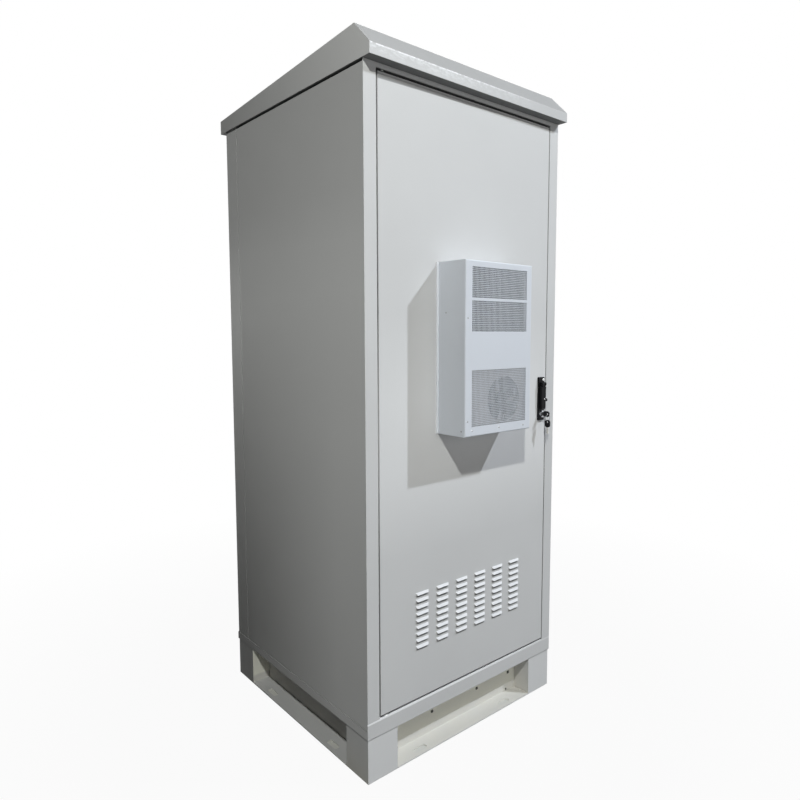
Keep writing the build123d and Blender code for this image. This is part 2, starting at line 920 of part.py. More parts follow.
def blower_wheel():
    """Radial wheel on the motor's rear shaft end: plate, blades and rear ring."""
    y_front = motor_back + blower_gap
    y_back = y_front + blower_depth
    blade_foot = blower_radius - blower_ring
    wheel = wheel_plate(blower_radius, (y_front, y_front + blower_disc))
    wheel += wheel_plate(blower_radius, (y_back - blower_disc, y_back))
    wheel -= wheel_plate(blade_foot, (y_back - blower_disc, y_back))
    wheel += wheel_plate(blower_hub_radius, (y_front, y_back))
    blade = slab(around(0, blower_blade), (y_front, y_back), (blade_foot, blower_radius - blower_blade))
    wheel += [Rot(0, n * 360 / blower_blades, 0) * blade for n in range(blower_blades)]
    return Pos(fan_offset, 0, fan_z) * wheel


def compressor():
    """Upright can with domed ends on a square foot."""
    floor = unit_low + unit_sheet
    base = floor + compressor_foot
    top = base + compressor_height
    outline = [
        (0, base),
        (compressor_radius, base),
        (compressor_radius, top - compressor_dome),
        (compressor_radius - compressor_dome, top),
        (0, top),
    ]
    can = revolve(Plane.XZ * make_face(Polyline(*outline, close=True)), Axis.Z)
    place = Pos(-compressor_offset, unit_plate_front - compressor_back, 0)
    foot = slab(around(0, compressor_foot_size), around(0, compressor_foot_size), (floor, base))
    return place * (can + foot)


def add_unit():
    parts["unit_cover"] = unit_cover()
    reach = unit_half + unit_flange
    plate = slab((-reach, reach), (unit_plate_front, front), (unit_low, unit_top))
    through = (unit_plate_front - overrun, front + overrun)
    plate -= slab(around(0, window_width), through, (window_low, window_high))
    plate -= slab(around(fan_offset, blower_window), through, around(fan_z, blower_window))
    parts["unit_back_plate"] = plate
    parts["condenser_coil"] = coil(unit_front + condenser_setback)
    parts["evaporator_coil"] = coil(unit_front + evaporator_setback)
    parts["fan_shroud"] = fan_shroud()
    bore = drum(fan_offset, fan_z, shaft_radius + pin_gap, (spoke_back - overrun, motor_back + overrun))
    parts["fan_motor"] = drum(fan_offset, fan_z, motor_radius, (spoke_back, motor_back)) - bore
    shaft_ends = (spoke_back - shroud_plate - fan_clear, motor_back + blower_gap)
    parts["motor_shaft"] = drum(fan_offset, fan_z, shaft_radius, shaft_ends)
    parts["fan_impeller"] = fan_impeller()
    parts["blower_wheel"] = blower_wheel()
    parts["compressor"] = compressor()


def lock_escutcheon():
    """Cast lock body: rounded plate outside and a guide for the spindle inside."""
    middle = lock_low + lock_height / 2
    plate = slab(around(lock_offset, lock_width), (plate_front, front), around(middle, lock_height))
    plate = chamfer(plate.edges().filter_by(Axis.Y), lock_corner)
    body_y = (front, cam_front - slide_gap)
    plate += slab(around(lock_offset, lock_body_width), body_y, around(swivel_height, lock_body_height))
    bore_y = (plate_front - overrun, cam_front + overrun)
    plate -= drum(lock_offset, swivel_height, spindle_radius + pin_gap, bore_y)
    return plate - drum(lock_offset, barrel_height, barrel_radius, (plate_front - overrun, front + overrun))


def lock_hub():
    """Spindle with a fork that holds the handle on a cross pin."""
    hub = drum(lock_offset, swivel_height, spindle_radius, (hub_face, cam_front))
    fork_width = around(lock_offset, 2 * cheek_outer)
    fork_height = around(swivel_height, 2 * cheek_radius)
    hub += slab(fork_width, (hub_face, hub_face + fork_base), fork_height)
    for near, far in ((cheek_inner, cheek_outer), (-cheek_outer, -cheek_inner)):
        span = (lock_offset + near, lock_offset + far)
        cheek = slab(span, (lift_y - cheek_radius, hub_face), fork_height)
        nose_edges = cheek.faces().sort_by(Axis.Y)[0].edges().filter_by(Axis.X)
        hub += chamfer(nose_edges, cheek_radius / 2)
    return hub + axle(lift_y, swivel_height, lift_pin_radius, fork_width)


def lock_handle():
    """Swing handle: a round nose on the cross pin and a tapering grip below it."""
    span_y = around(lift_y, 2 * nose_radius)
    shoulder = swivel_height - handle_shoulder
    tip = swivel_height - handle_length
    grip_outline = [
        (-handle_width / 2, shoulder),
        (-handle_tip_width / 2, tip),
        (handle_tip_width / 2, tip),
        (handle_width / 2, shoulder),
    ]
    plane = Plane.XZ.offset(-span_y[1])
    grip = extrude(plane * make_face(Polyline(*grip_outline, close=True)), span_y[1] - span_y[0])
    outer_edges = grip.faces().sort_by(Axis.Y)[0].edges()
    grip = chamfer(outer_edges, handle_bevel)
    grip += slab(around(0, nose_width), span_y, (shoulder - handle_bevel, swivel_height))
    grip += axle(lift_y, swivel_height, nose_radius, around(0, nose_width))
    grip -= axle(lift_y, swivel_height, lift_pin_radius + pin_gap, around(0, 2 * nose_width))
    return Pos(lock_offset, 0, 0) * grip


def lock_cam():
    """Bar across the spindle's end with the two pins that drive the rods."""
    bar = Box(2 * (cam_throw + cam_wall), cam_thickness, 2 * cam_wall)
    cam = Pos(lock_offset, cam_front + cam_thickness / 2, swivel_height) * Rot(0, -cam_angle, 0) * bar
    pin_y = (cam_front, rod_front + lock_rod_thickness)
    for way in (1, -1):
        cam += drum(lock_offset + way * pin_rise, swivel_height + way * pin_rise, cam_pin_radius, pin_y)
    return cam


def lock_rod(way):
    """Locking rod with a cross slot on its cam pin: way 1 runs up, way -1 runs down."""
    near = swivel_height + way * pin_rise
    start = near - way * (cam_pin_radius + slot_play + lock_rod_end)
    stop = head - seal_flange - lock_rod_short
    if way < 0:
        stop = sill + seal_flange + lock_rod_short
    middle = lock_offset + way * lock_rod_side
    heights = (min(start, stop), max(start, stop))
    bar = slab(around(middle, lock_rod_width), (rod_front, rod_front + lock_rod_thickness), heights)
    play = cam_pin_radius + slot_play
    slot_x = sorted((lock_offset + way * (pin_rise - play), lock_offset + way * (cam_throw + play)))
    return bar - slab(slot_x, (rod_front - overrun, rod_front + 2 * overrun), around(near, 2 * play))


def rod_guides():
    """Four blocks on the door's lip that the rods slide in."""
    guides = []
    ends = {1: head - seal_flange - guide_inset, -1: sill + seal_flange + guide_inset}
    for way, end in ends.items():
        middle = lock_offset + way * lock_rod_side
        for height in (end, swivel_height + way * guide_from_lock):
            outer = lock_rod_width + 2 * (guide_wall + slide_gap)
            rod_back = rod_front + lock_rod_thickness
            block_y = (door_back, rod_back + slide_gap + guide_wall)
            block = slab(around(middle, outer), block_y, around(height, guide_height))
            way_y = (rod_front - slide_gap, rod_back + slide_gap)
            way_x = around(middle, lock_rod_width + 2 * slide_gap)
            block -= slab(way_x, way_y, around(height, guide_height + overrun))
            guides.append(block.solid())
    return Compound(guides)


def plain_key():
    """Key in its own frame: blade along +Y from the head, bow hole towards -Y."""
    head_middle = -key_head_length / 2
    head_plane = Plane.YZ.offset(-key_head_thickness / 2)
    bow = Rectangle(key_head_length, key_head_width)
    bow = Pos(head_middle, 0) * chamfer(bow.vertices(), key_corner)
    eye = RegularPolygon(key_hole_radius, key_hole_sides, major_radius=False)
    bow -= Pos(key_hole_inset - key_head_length, 0) * eye
    key = extrude(head_plane * bow, key_head_thickness)
    blade_y = (-key_hole_inset, key_blade_length)
    return key + slab(around(0, key_blade_thickness), blade_y, around(0, key_blade_width))


def add_lock():
    parts["lock_escutcheon"] = lock_escutcheon()
    parts["lock_hub"] = lock_hub()
    parts["lock_handle"] = lock_handle()
    parts["lock_cam"] = lock_cam()
    parts["lock_rod_upper"] = lock_rod(1)
    parts["lock_rod_lower"] = lock_rod(-1)
    parts["rod_guides"] = rod_guides()

    barrel_face = plate_front - barrel_out
    barrel = drum(lock_offset, barrel_height, barrel_radius, (barrel_face, front + barrel_in))
    bore = (barrel_face - overrun, front + barrel_in + overrun)
    parts["lock_barrel"] = barrel - drum(lock_offset, barrel_height, plug_radius + pin_gap, bore)
    plug_face = barrel_face - plug_out
    plug = drum(lock_offset, barrel_height, plug_radius, (plug_face, front + barrel_in))
    key_root = plug_face - key_standoff
    slot_x = around(lock_offset, key_blade_thickness + 2 * key_gap)
    slot_y = (plug_face - overrun, key_root + key_blade_length + key_gap)
    parts["lock_plug"] = plug - slab(slot_x, slot_y, around(barrel_height, key_blade_width + 2 * key_gap))

    parts["key"] = Pos(lock_offset, key_root, barrel_height) * plain_key()
    eye_y = key_root - key_head_length + key_hole_inset
    hang = key_hole_radius - ring_wire - ring_play
    ring_middle = barrel_height - hang - ring_radius
    hoop = RegularPolygon(ring_radius + ring_wire, ring_sides)
    hoop -= RegularPolygon(ring_radius - ring_wire, ring_sides)
    ring = extrude(Plane.XZ * hoop, 2 * ring_wire)
    parts["key_ring"] = Pos(lock_offset, eye_y + ring_wire, ring_middle) * ring
    spare_eye = ring_middle - ring_radius - hang
    bow_drop = key_head_length - key_hole_inset
    spare = Pos(lock_offset, eye_y, spare_eye - bow_drop) * Rot(-90, 0, 0) * plain_key()
    parts["spare_key"] = spare


add_plinth()
add_base_frame()
add_floor()
add_body()
add_ceiling()
add_roof()
add_rails()
add_door()
add_pivots()
add_unit()
add_lock()

os.makedirs("parts", exist_ok=True)
for name, shape in parts.items():
    export_step(shape, f"parts/{name}.step")
print(len(parts), "nodes")
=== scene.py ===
import json
import math

import bmesh
import bpy
from mathutils import Matrix, Vector


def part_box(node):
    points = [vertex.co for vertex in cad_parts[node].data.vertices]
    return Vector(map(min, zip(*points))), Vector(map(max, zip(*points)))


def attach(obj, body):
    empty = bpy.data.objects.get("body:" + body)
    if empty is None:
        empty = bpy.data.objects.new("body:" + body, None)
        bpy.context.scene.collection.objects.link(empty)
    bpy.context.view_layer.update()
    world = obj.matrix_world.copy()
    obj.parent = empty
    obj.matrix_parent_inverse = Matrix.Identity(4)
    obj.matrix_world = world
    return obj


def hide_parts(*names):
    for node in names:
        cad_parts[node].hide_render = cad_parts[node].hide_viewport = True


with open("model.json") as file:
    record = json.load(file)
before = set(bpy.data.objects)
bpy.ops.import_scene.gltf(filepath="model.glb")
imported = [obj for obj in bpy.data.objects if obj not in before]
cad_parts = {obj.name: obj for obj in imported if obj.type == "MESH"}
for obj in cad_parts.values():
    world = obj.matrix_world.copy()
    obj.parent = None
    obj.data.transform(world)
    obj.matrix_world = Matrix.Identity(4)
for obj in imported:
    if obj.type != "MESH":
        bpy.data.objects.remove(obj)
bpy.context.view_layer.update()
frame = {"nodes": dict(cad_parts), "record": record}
nodes = frame["nodes"]
MM = 0.001


# Places that the frame gives, in millimetres

def box_mm(node):
    """Lowest and highest corner of a CAD node."""
    return [[round(value / MM, 2) for value in corner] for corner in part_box(node)]


def halfway(low, high):
    return (low + high) / 2


(_, UNIT_FRONT, UNIT_LOW), (UNIT_X, UNIT_BACK, UNIT_HIGH) = box_mm("unit_cover")
(PLATE_LEFT, PLATE_FRONT, PLATE_LOW), (PLATE_RIGHT, _, PLATE_HIGH) = box_mm("lock_escutcheon")
(_, HANDLE_FRONT, HANDLE_LOW), _ = box_mm("lock_handle")
(_, _, BARREL_LOW), (_, _, BARREL_HIGH) = box_mm("lock_barrel")
(_, _, DOOR_LOW), (_, _, DOOR_HIGH) = box_mm("door_panel")
(_, _, SILL_TOP), _ = box_mm("front_post_left")
LOCK_X = halfway(PLATE_LEFT, PLATE_RIGHT)
BARREL_Z = halfway(BARREL_LOW, BARREL_HIGH)


# Node materials

def srgb(red, green, blue):
    """Colour given as 0-255 screen values, as linear values."""
    def linear(value):
        value /= 255.0
        return value / 12.92 if value <= 0.04045 else ((value + 0.055) / 1.055) ** 2.4
    return (linear(red), linear(green), linear(blue), 1.0)


def shade(colour, factor):
    """Colour made darker or paler by a factor."""
    return tuple(min(1.0, value * factor) for value in colour[:3]) + (1.0,)


class NodeMaterial:
    """Small helper round one node material. Places in it are in metres."""

    def __init__(self, name):
        self.material = bpy.data.materials.new(name)
        self.material.use_nodes = True
        self.tree = self.material.node_tree
        self.shader = self.tree.nodes["Principled BSDF"]
        self.coord = self.node("ShaderNodeTexCoord").outputs["Object"]

    def node(self, kind, **settings):
        made = self.tree.nodes.new(kind)
        for key, value in settings.items():
            setattr(made, key, value)
        return made

    def link(self, source, socket):
        self.tree.links.new(source, socket)

    def feed(self, value, socket):
        """Sets a socket to a constant, or links another node's output to it."""
        if isinstance(value, (int, float, tuple)):
            socket.default_value = value
        else:
            self.link(value, socket)

    def set(self, **values):
        for key, value in values.items():
            self.shader.inputs[key.replace("_", " ")].default_value = value

    def colour(self, source):
        self.link(source, self.shader.inputs["Base Color"])

    def rough(self, source):
        self.link(source, self.shader.inputs["Roughness"])

    def axis(self, which):
        parts = self.node("ShaderNodeSeparateXYZ")
        self.link(self.coord, parts.inputs["Vector"])
        return parts.outputs[which]

    def tilt(self):
        """Way the face looks, as its X, Y and Z."""
        parts = self.node("ShaderNodeSeparateXYZ")
        self.link(self.node("ShaderNodeNewGeometry").outputs["True Normal"], parts.inputs["Vector"])
        return parts.outputs

    def noise(self, scale, detail=2.0, rough=0.5, stretch=None):
        cloud = self.node("ShaderNodeTexNoise")
        cloud.inputs["Scale"].default_value = scale
        cloud.inputs["Detail"].default_value = detail
        cloud.inputs["Roughness"].default_value = rough
        source = self.coord
        if stretch:
            mapping = self.node("ShaderNodeMapping")
            mapping.inputs["Scale"].default_value = stretch
            self.link(source, mapping.inputs["Vector"])
            source = mapping.outputs["Vector"]
        self.link(source, cloud.inputs["Vector"])
        return cloud.outputs["Fac"]

    def math(self, operation, first, second):
        made = self.node("ShaderNodeMath", operation=operation)
        self.feed(first, made.inputs[0])
        self.feed(second, made.inputs[1])
        return made.outputs[0]

    def times(self, first, *others):
        for other in others:
            first = self.math("MULTIPLY", first, other)
        return first

    def absolute(self, value):
        return self.math("ABSOLUTE", value, 0.0)

    def remap(self, value, low, high, start=0.3, end=0.7):
        """Low up to start, high from end on, even between them."""
        made = self.node("ShaderNodeMapRange")
        made.inputs["From Min"].default_value = start
        made.inputs["From Max"].default_value = end
        made.inputs["To Min"].default_value = low
        made.inputs["To Max"].default_value = high
        self.link(value, made.inputs["Value"])
        return made.outputs["Result"]

    def rise(self, value, start, end):
        return self.remap(value, 0.0, 1.0, start, end)

    def fall(self, value, start, end):
        return self.remap(value, 1.0, 0.0, start, end)

    def band(self, value, rise, fall):
        """1 between the two given slopes."""
        return self.times(self.rise(value, *rise), self.fall(value, *fall))

    def mix(self, factor, first, second):
        made = self.node("ShaderNodeMix", data_type="RGBA")
        self.link(factor, made.inputs["Factor"])
        self.feed(first, made.inputs["A"])
        self.feed(second, made.inputs["B"])
        return made.outputs["Result"]

    def overlay(self, tone, *layers):
        """Lays colours over a tone one after the other, each in its own region."""
        for region, colour in layers:
            tone = self.mix(region, tone, colour)
        return tone

    def ramp(self, factor, *stops):
        """Colour between two stops of (position, colour)."""
        made = self.node("ShaderNodeValToRGB")
        for element, (position, colour) in zip(made.color_ramp.elements, stops):
            element.position = position
            element.color = colour
        self.link(factor, made.inputs["Fac"])
        return made.outputs["Color"]

    def bump(self, layers, edge=0.0):
        """Layers of (height, strength, distance in mm) on edges rounded by a small radius in mm."""
        normal = None
        if edge:
            bevel = self.node("ShaderNodeBevel", samples=4)
            bevel.inputs["Radius"].default_value = edge * MM
            normal = bevel.outputs["Normal"]
        for height, strength, distance in layers:
            relief = self.node("ShaderNodeBump")
            relief.inputs["Strength"].default_value = strength
            relief.inputs["Distance"].default_value = distance * MM
            self.link(height, relief.inputs["Height"])
            if normal:
                self.link(normal, relief.inputs["Normal"])
            normal = relief.outputs["Normal"]
        self.link(normal, self.shader.inputs["Normal"])


# Powder coats

GREY = srgb(210, 210, 209)
WHITE = srgb(216, 220, 226)
GAP_SHADE_REACH = 14.0
UNIT_COAT = {"rough": 0.40, "peel": 0.18, "edge": 0.8, "sheen": 0.06, "gap_shade": False}


class PowderCoat(NodeMaterial):
    """Powder coat: orange peel and a faint cloudy tone, with painted shade darkening narrow gaps and
    creases where that is switched on.
    """

    def __init__(self, name, colour, rough=0.46, peel=0.25, edge=1.0, sheen=0.03, gap_shade=True):
        super().__init__(name)
        cloud = self.noise(scale=2.2, detail=3.0)
        tone = self.ramp(cloud, (0.3, shade(colour, 0.965)), (0.7, shade(colour, 1.02)))
        speck = self.noise(scale=420.0, detail=1.0)
        tone = self.mix(self.remap(speck, 0.0, 0.10, start=0.58, end=0.75), tone, shade(colour, 0.72))
        if gap_shade:
            # Painted shade: ambient occlusion darkens the colour nearly to black in narrow gaps and
            # creases.
            occlusion = self.node("ShaderNodeAmbientOcclusion", samples=6)
            occlusion.inputs["Distance"].default_value = GAP_SHADE_REACH * MM
            tone = self.mix(self.fall(occlusion.outputs["AO"], 0.08, 0.42), tone, shade(colour, 0.06))
        self.tone = tone
        self.rough(self.remap(self.noise(scale=14.0, detail=3.0), rough - 0.05, rough + 0.06))
        self.set(Specular_IOR_Level=sheen)
        orange_peel = (self.noise(scale=650.0), peel, 0.12)
        sheet_waves = (self.noise(scale=7.0, detail=1.0), 0.10, 1.2)
        self.layers = [orange_peel, sheet_waves]
        self.edge = edge

    def finish(self, tone, *relief):
        """Puts the tone and the relief on the shader and gives the material."""
        self.colour(tone)
        self.bump(self.layers + list(relief), self.edge)
        return self.material


# Spans over which a tone comes or goes: places in metres, and how far a face looks along an axis

LOOKS_UP, LOOKS_FRONT, LOOKS_LEFT = (0.6, 0.8), (-0.9, -0.8), (-0.9, -0.6)
LEFT_SKIN = (-0.385, -0.375)
MIDDLE_RISE, MIDDLE_FALL = (0.30, 0.95), (1.36, 1.64)
STRIP_BEHIND, STRIP_RISE, STRIP_FALL = (0.308, 0.318), (0.95, 1.20), (1.34, 1.56)
NEAR_ROOF = (1.50, 1.95)
CORNER_FALL, CORNER_BEHIND = (0.22, 1.30), (-0.25, 0.32)


def side_painted_light(mat, tone):
    """Painted light and shade on the left side: paler at mid height with a painted reflection on the rear
    strip, painted shade below the roof and at the lower rear.
    """
    x, y, z = (mat.axis(name) for name in "XYZ")
    left = mat.times(mat.fall(mat.tilt()["X"], *LOOKS_LEFT), mat.fall(x, *LEFT_SKIN))
    middle = mat.band(z, MIDDLE_RISE, MIDDLE_FALL)
    painted_reflection_strip = mat.times(mat.rise(y, *STRIP_BEHIND), mat.band(z, STRIP_RISE, STRIP_FALL))
    below_roof = mat.rise(z, *NEAR_ROOF)
    corner = mat.times(mat.fall(z, *CORNER_FALL), mat.rise(y, *CORNER_BEHIND))
    # Painted light at mid height, a painted reflection on the rear strip, painted shade below the roof and
    # at the lower rear corner.
    return mat.overlay(
        tone,
        (mat.times(left, middle), shade(GREY, 1.15)),
        (mat.times(left, painted_reflection_strip), shade(GREY, 1.3)),
        (mat.times(left, below_roof), shade(GREY, 0.82)),
        (mat.times(left, corner), shade(GREY, 0.40)),
    )


def body_coat():
    mat = PowderCoat("body_paint", GREY)
    # Powder coat with the left side's painted light and shade.
    return mat.finish(side_painted_light(mat, mat.tone))


LOUVRE_LOW, LOUVRE_ROW, LOUVRE_ROWS = 0.338, 0.01985, 9
LOUVRE_COLUMN, LOUVRE_REACH = 0.0804, 0.23
# Painted shadow below each louvre's mouth: its height, soft lower and upper edges, fade to the sides, and
# strength.
LOUVRE_SHADOW_HEIGHT, LOUVRE_SHADOW_BELOW, LOUVRE_SHADOW_ABOVE, LOUVRE_SHADOW_SIDES = 0.0085, 0.002, 0.0005, (0.019, 0.0235)
LOUVRE_SHADOW_STRENGTH = 0.75
DOOR_FACING, HOOD_RISE, HOOD_FALL = (-0.95, -0.85), (0.4, 0.6), (0.8, 0.95)
PALE_RISE, PALE_FALL = (0.62, 0.86), (1.06, 1.30)
EAVE_SLOPE, EAVE_RISE, EAVE_FALL = 0.0185, (1.9065, 1.9085), (1.911, 1.917)
EDGE_LINE = 0.0026


def louvre_painted_shadow(mat, x, z):
    """Region of the painted shadow below the mouth of each louvre."""
    row = mat.math("FLOORED_MODULO", mat.math("SUBTRACT", z, LOUVRE_LOW - LOUVRE_SHADOW_HEIGHT), LOUVRE_ROW)
    column = mat.math("FLOORED_MODULO", mat.math("ADD", x, LOUVRE_COLUMN * 4), LOUVRE_COLUMN)
    off_centre = mat.absolute(mat.math("SUBTRACT", column, LOUVRE_COLUMN / 2))
    dust_and_shadow = mat.band(row, rise=(0.0, LOUVRE_SHADOW_BELOW), fall=(LOUVRE_SHADOW_HEIGHT, LOUVRE_SHADOW_HEIGHT + LOUVRE_SHADOW_ABOVE))
    dust_and_shadow = mat.times(dust_and_shadow, mat.fall(off_centre, *LOUVRE_SHADOW_SIDES))
    field_low, field_high = LOUVRE_LOW - 2 * LOUVRE_SHADOW_HEIGHT, LOUVRE_LOW + (LOUVRE_ROWS - 0.5) * LOUVRE_ROW
    for place, low, high in ((x, -LOUVRE_REACH, LOUVRE_REACH), (z, field_low, field_high)):
        dust_and_shadow = mat.times(dust_and_shadow, mat.math("GREATER_THAN", place, low), mat.math("LESS_THAN", place, high))
    return dust_and_shadow


def door_coat():
    """The same coat on the door, with painted light at mid height and on the louvre hoods, painted shadows
    below the louvre mouths and the eave, and painted shade along the top and bottom edges.
    """
    mat = PowderCoat("door_paint", GREY)
    tilt, x, z = mat.tilt(), mat.axis("X"), mat.axis("Z")
    front = mat.fall(tilt["Y"], *DOOR_FACING)
    # Painted light at mid height and on the upward-facing louvre hoods.
    painted_light_middle = mat.band(z, PALE_RISE, PALE_FALL)
    painted_light_hoods = mat.band(tilt["Z"], HOOD_RISE, HOOD_FALL)
    dust_and_shadow = mat.times(louvre_painted_shadow(mat, x, z), front, LOUVRE_SHADOW_STRENGTH)
    # Painted shadow of the eave, slanting across the top of the door.
    slant = mat.math("SUBTRACT", z, mat.times(x, EAVE_SLOPE))
    painted_eave_shadow = mat.times(front, mat.rise(slant, *EAVE_RISE), mat.fall(z, *EAVE_FALL))
    # Painted shade: lines along the door's bottom and top edges.
    lower_edge = mat.math("LESS_THAN", z, DOOR_LOW * MM + EDGE_LINE)
    upper_edge = mat.math("GREATER_THAN", z, DOOR_HIGH * MM - EDGE_LINE)
    painted_edge_shadow = mat.times(front, mat.math("ADD", lower_edge, upper_edge))
    return mat.finish(mat.overlay(
        mat.tone,
        (painted_light_middle, shade(GREY, 1.12)),
        (painted_light_hoods, srgb(231, 232, 233)),
        (dust_and_shadow, shade(GREY, 0.2)),
        (painted_eave_shadow, shade(GREY, 0.47)),
        (painted_edge_shadow, shade(GREY, 0.05)),
    ))


# Painted highlight: a band just below the sill's top, full at the left and fading towards the right.
HIGHLIGHT_START, HIGHLIGHT_FULL = (SILL_TOP - 6.5) * MM, (SILL_TOP - 4.5) * MM
HIGHLIGHT_ACROSS, HIGHLIGHT_AT_RIGHT = (0.0, 0.34), 0.3


def sill_coat():
    """The same coat on the sill, with a painted highlight along its upper edge under the door and on its
    upward faces.
    """
    mat = PowderCoat("sill_paint", GREY, edge=0.6, gap_shade=False)
    below_top = mat.rise(mat.axis("Z"), HIGHLIGHT_START, HIGHLIGHT_FULL)
    edge_highlight = mat.times(below_top, mat.remap(mat.axis("X"), 1.0, HIGHLIGHT_AT_RIGHT, *HIGHLIGHT_ACROSS))
    bright = mat.math("MAXIMUM", mat.rise(mat.tilt()["Z"], *LOOKS_UP), edge_highlight)
    return mat.finish(mat.mix(bright, mat.tone, srgb(252, 252, 252)))


def rail_coat():
    """The same coat on the other base rails, with painted shade on their upward-facing edges and the left
    side's painted light and shade.
    """
    mat = PowderCoat("rail_paint", GREY, edge=0.6)
    # Painted shade on the upward-facing edges.
    shaded_upper_edges = mat.rise(mat.tilt()["Z"], *LOOKS_UP)
    return mat.finish(side_painted_light(mat, mat.mix(shaded_upper_edges, mat.tone, shade(GREY, 0.55))))


GROUND_REACH, GROUND_DUST = 0.11, 0.75
LEG_FRONT, WALL_BEHIND, WALL_ABOVE = (-0.385, -0.375), (-0.37, -0.36), (0.023, 0.031)
LEDGE_UP, LEDGE_LEFT = (0.8, 0.9), (-0.34, -0.33)


def plinth_coat():
    """The same coat on the plinth, warmer and paler towards the ground, with painted light on the leg
    fronts and on the upper part of the recessed front wall, painted shade on the left ledge, and the left
    side's painted light and shade.
    """
    mat = PowderCoat("plinth_paint", GREY, edge=0.6, gap_shade=False)
    x, y, z = (mat.axis(name) for name in "XYZ")
    tilt = mat.tilt()
    front = mat.fall(tilt["Y"], *LOOKS_FRONT)
    near_ground = mat.remap(z, GROUND_DUST, 0.0, start=0.0, end=GROUND_REACH)
    dust_and_shadow = mat.times(near_ground, mat.remap(mat.noise(scale=9.0, detail=4.0), 0.6, 1.0))
    lit_leg_fronts = mat.times(front, mat.fall(y, *LEG_FRONT))
    lit_wall = mat.times(front, mat.rise(y, *WALL_BEHIND), mat.rise(z, *WALL_ABOVE))
    shaded_left_ledge = mat.times(mat.rise(tilt["Z"], *LEDGE_UP), mat.fall(x, *LEDGE_LEFT))
    # Painted light on the leg fronts and the recessed wall, painted shade on the left ledge.
    tone = mat.overlay(
        mat.tone,
        (dust_and_shadow, srgb(222, 219, 209)),
        (lit_leg_fronts, shade(GREY, 1.11)),
        (lit_wall, srgb(240, 239, 227)),
        (shaded_left_ledge, shade(GREY, 0.86)),
    )
    return mat.finish(side_painted_light(mat, tone))


ROOF_UNDER, ROOF_TOP, ROOF_ENDS = (-0.9, -0.5), (0.4, 0.6), (0.6, 0.8)
ENDS_BACK, FASCIA_ACROSS = (-0.45, 0.42), (-0.15, 0.28)
FOLD_ABOVE, RIDGE_ABOVE = (1.938, 1.968), (1.9625, 1.9655)


def roof_coat():
    """The same coat on the roof, wrinkled along the fold of the fascia, with painted shade on its top,
    underside and the fascia's right part, painted light and shade along its ends, and painted highlights
    on the fascia's wrinkles and fold.
    """
    mat = PowderCoat("roof_paint", GREY, peel=0.35, edge=1.2)
    tilt, z = mat.tilt(), mat.axis("Z")
    underside = mat.fall(tilt["Z"], *ROOF_UNDER)
    top = mat.rise(tilt["Z"], *ROOF_TOP)
    ends = mat.rise(mat.absolute(tilt["X"]), *ROOF_ENDS)
    end_tone = mat.mix(mat.rise(mat.axis("Y"), *ENDS_BACK), shade(GREY, 1.08), shade(GREY, 0.66))
    front = mat.fall(tilt["Y"], *LOOKS_FRONT)
    left = mat.fall(mat.axis("X"), *FASCIA_ACROSS)
    fascia_right = mat.times(front, mat.fall(left, 0.0, 1.0))
    fascia_left = mat.times(front, left)
    fold = mat.times(fascia_left, mat.rise(z, *FOLD_ABOVE))
    crumple = mat.noise(scale=95.0, detail=4.0, rough=0.6, stretch=(0.55, 1.0, 1.2))
    wrinkle_highlights = mat.times(fold, mat.remap(crumple, 0.0, 0.8, start=0.45, end=0.62))
    broken = mat.rise(mat.noise(scale=75.0, detail=4.0, rough=0.6), 0.40, 0.58)
    ridge_highlight = mat.times(fascia_left, mat.rise(z, *RIDGE_ABOVE), broken)
    # Painted shade below, above and on the fascia's right part; painted light at the front of the ends and
    # shade at their rear; painted highlights on the wrinkles and fold.
    tone = mat.overlay(
        mat.tone,
        (underside, shade(GREY, 0.34)),
        (top, shade(GREY, 0.58)),
        (ends, end_tone),
        (fascia_right, shade(GREY, 0.86)),
        (wrinkle_highlights, srgb(238, 239, 240)),
        (ridge_highlight, srgb(253, 253, 254)),
    )
    return mat.finish(tone, (mat.times(crumple, fold), 0.7, 3.0))


def unit_coat():
    mat = PowderCoat("unit_paint", WHITE, **UNIT_COAT)
    return mat.finish(mat.tone)


RIM_START, RIM_FULL = (UNIT_X - 1.0) * MM, (UNIT_X + 0.2) * MM


def flange_coat():
    """Paler white on the rim of the unit's back plate as a painted highlight, and painted shade, nearly
    black, inside the unit.
    """
    # Painted highlight: the rim is a paler white than the unit's cover.
    mat = PowderCoat("flange_paint", srgb(240, 243, 247), **UNIT_COAT)
    # Painted shade: the back plate inside the unit is made nearly black.
    inside = mat.fall(mat.absolute(mat.axis("X")), RIM_START, RIM_FULL)
    return mat.finish(mat.mix(inside, mat.tone, shade(WHITE, 0.12)))


# Metals, plastics and fleece

def zinc(name, colour, rough=0.42, metal=0.85):
    """Galvanised sheet with its spangle."""
    mat = NodeMaterial(name)
    cells = mat.node("ShaderNodeTexVoronoi", feature="F1")
    cells.inputs["Scale"].default_value = 55.0
    mat.link(mat.coord, cells.inputs["Vector"])
    grey = mat.node("ShaderNodeRGBToBW")
    mat.link(cells.outputs["Color"], grey.inputs["Color"])
    spangle = grey.outputs["Val"]
    mat.colour(mat.ramp(spangle, (0.2, shade(colour, 0.86)), (0.8, shade(colour, 1.08))))
    mat.rough(mat.remap(spangle, rough - 0.08, rough + 0.10, start=0.1, end=0.9))
    mat.set(Metallic=metal)
    mat.bump([(mat.noise(scale=300.0), 0.08, 0.1)], edge=0.5)
    return mat.material


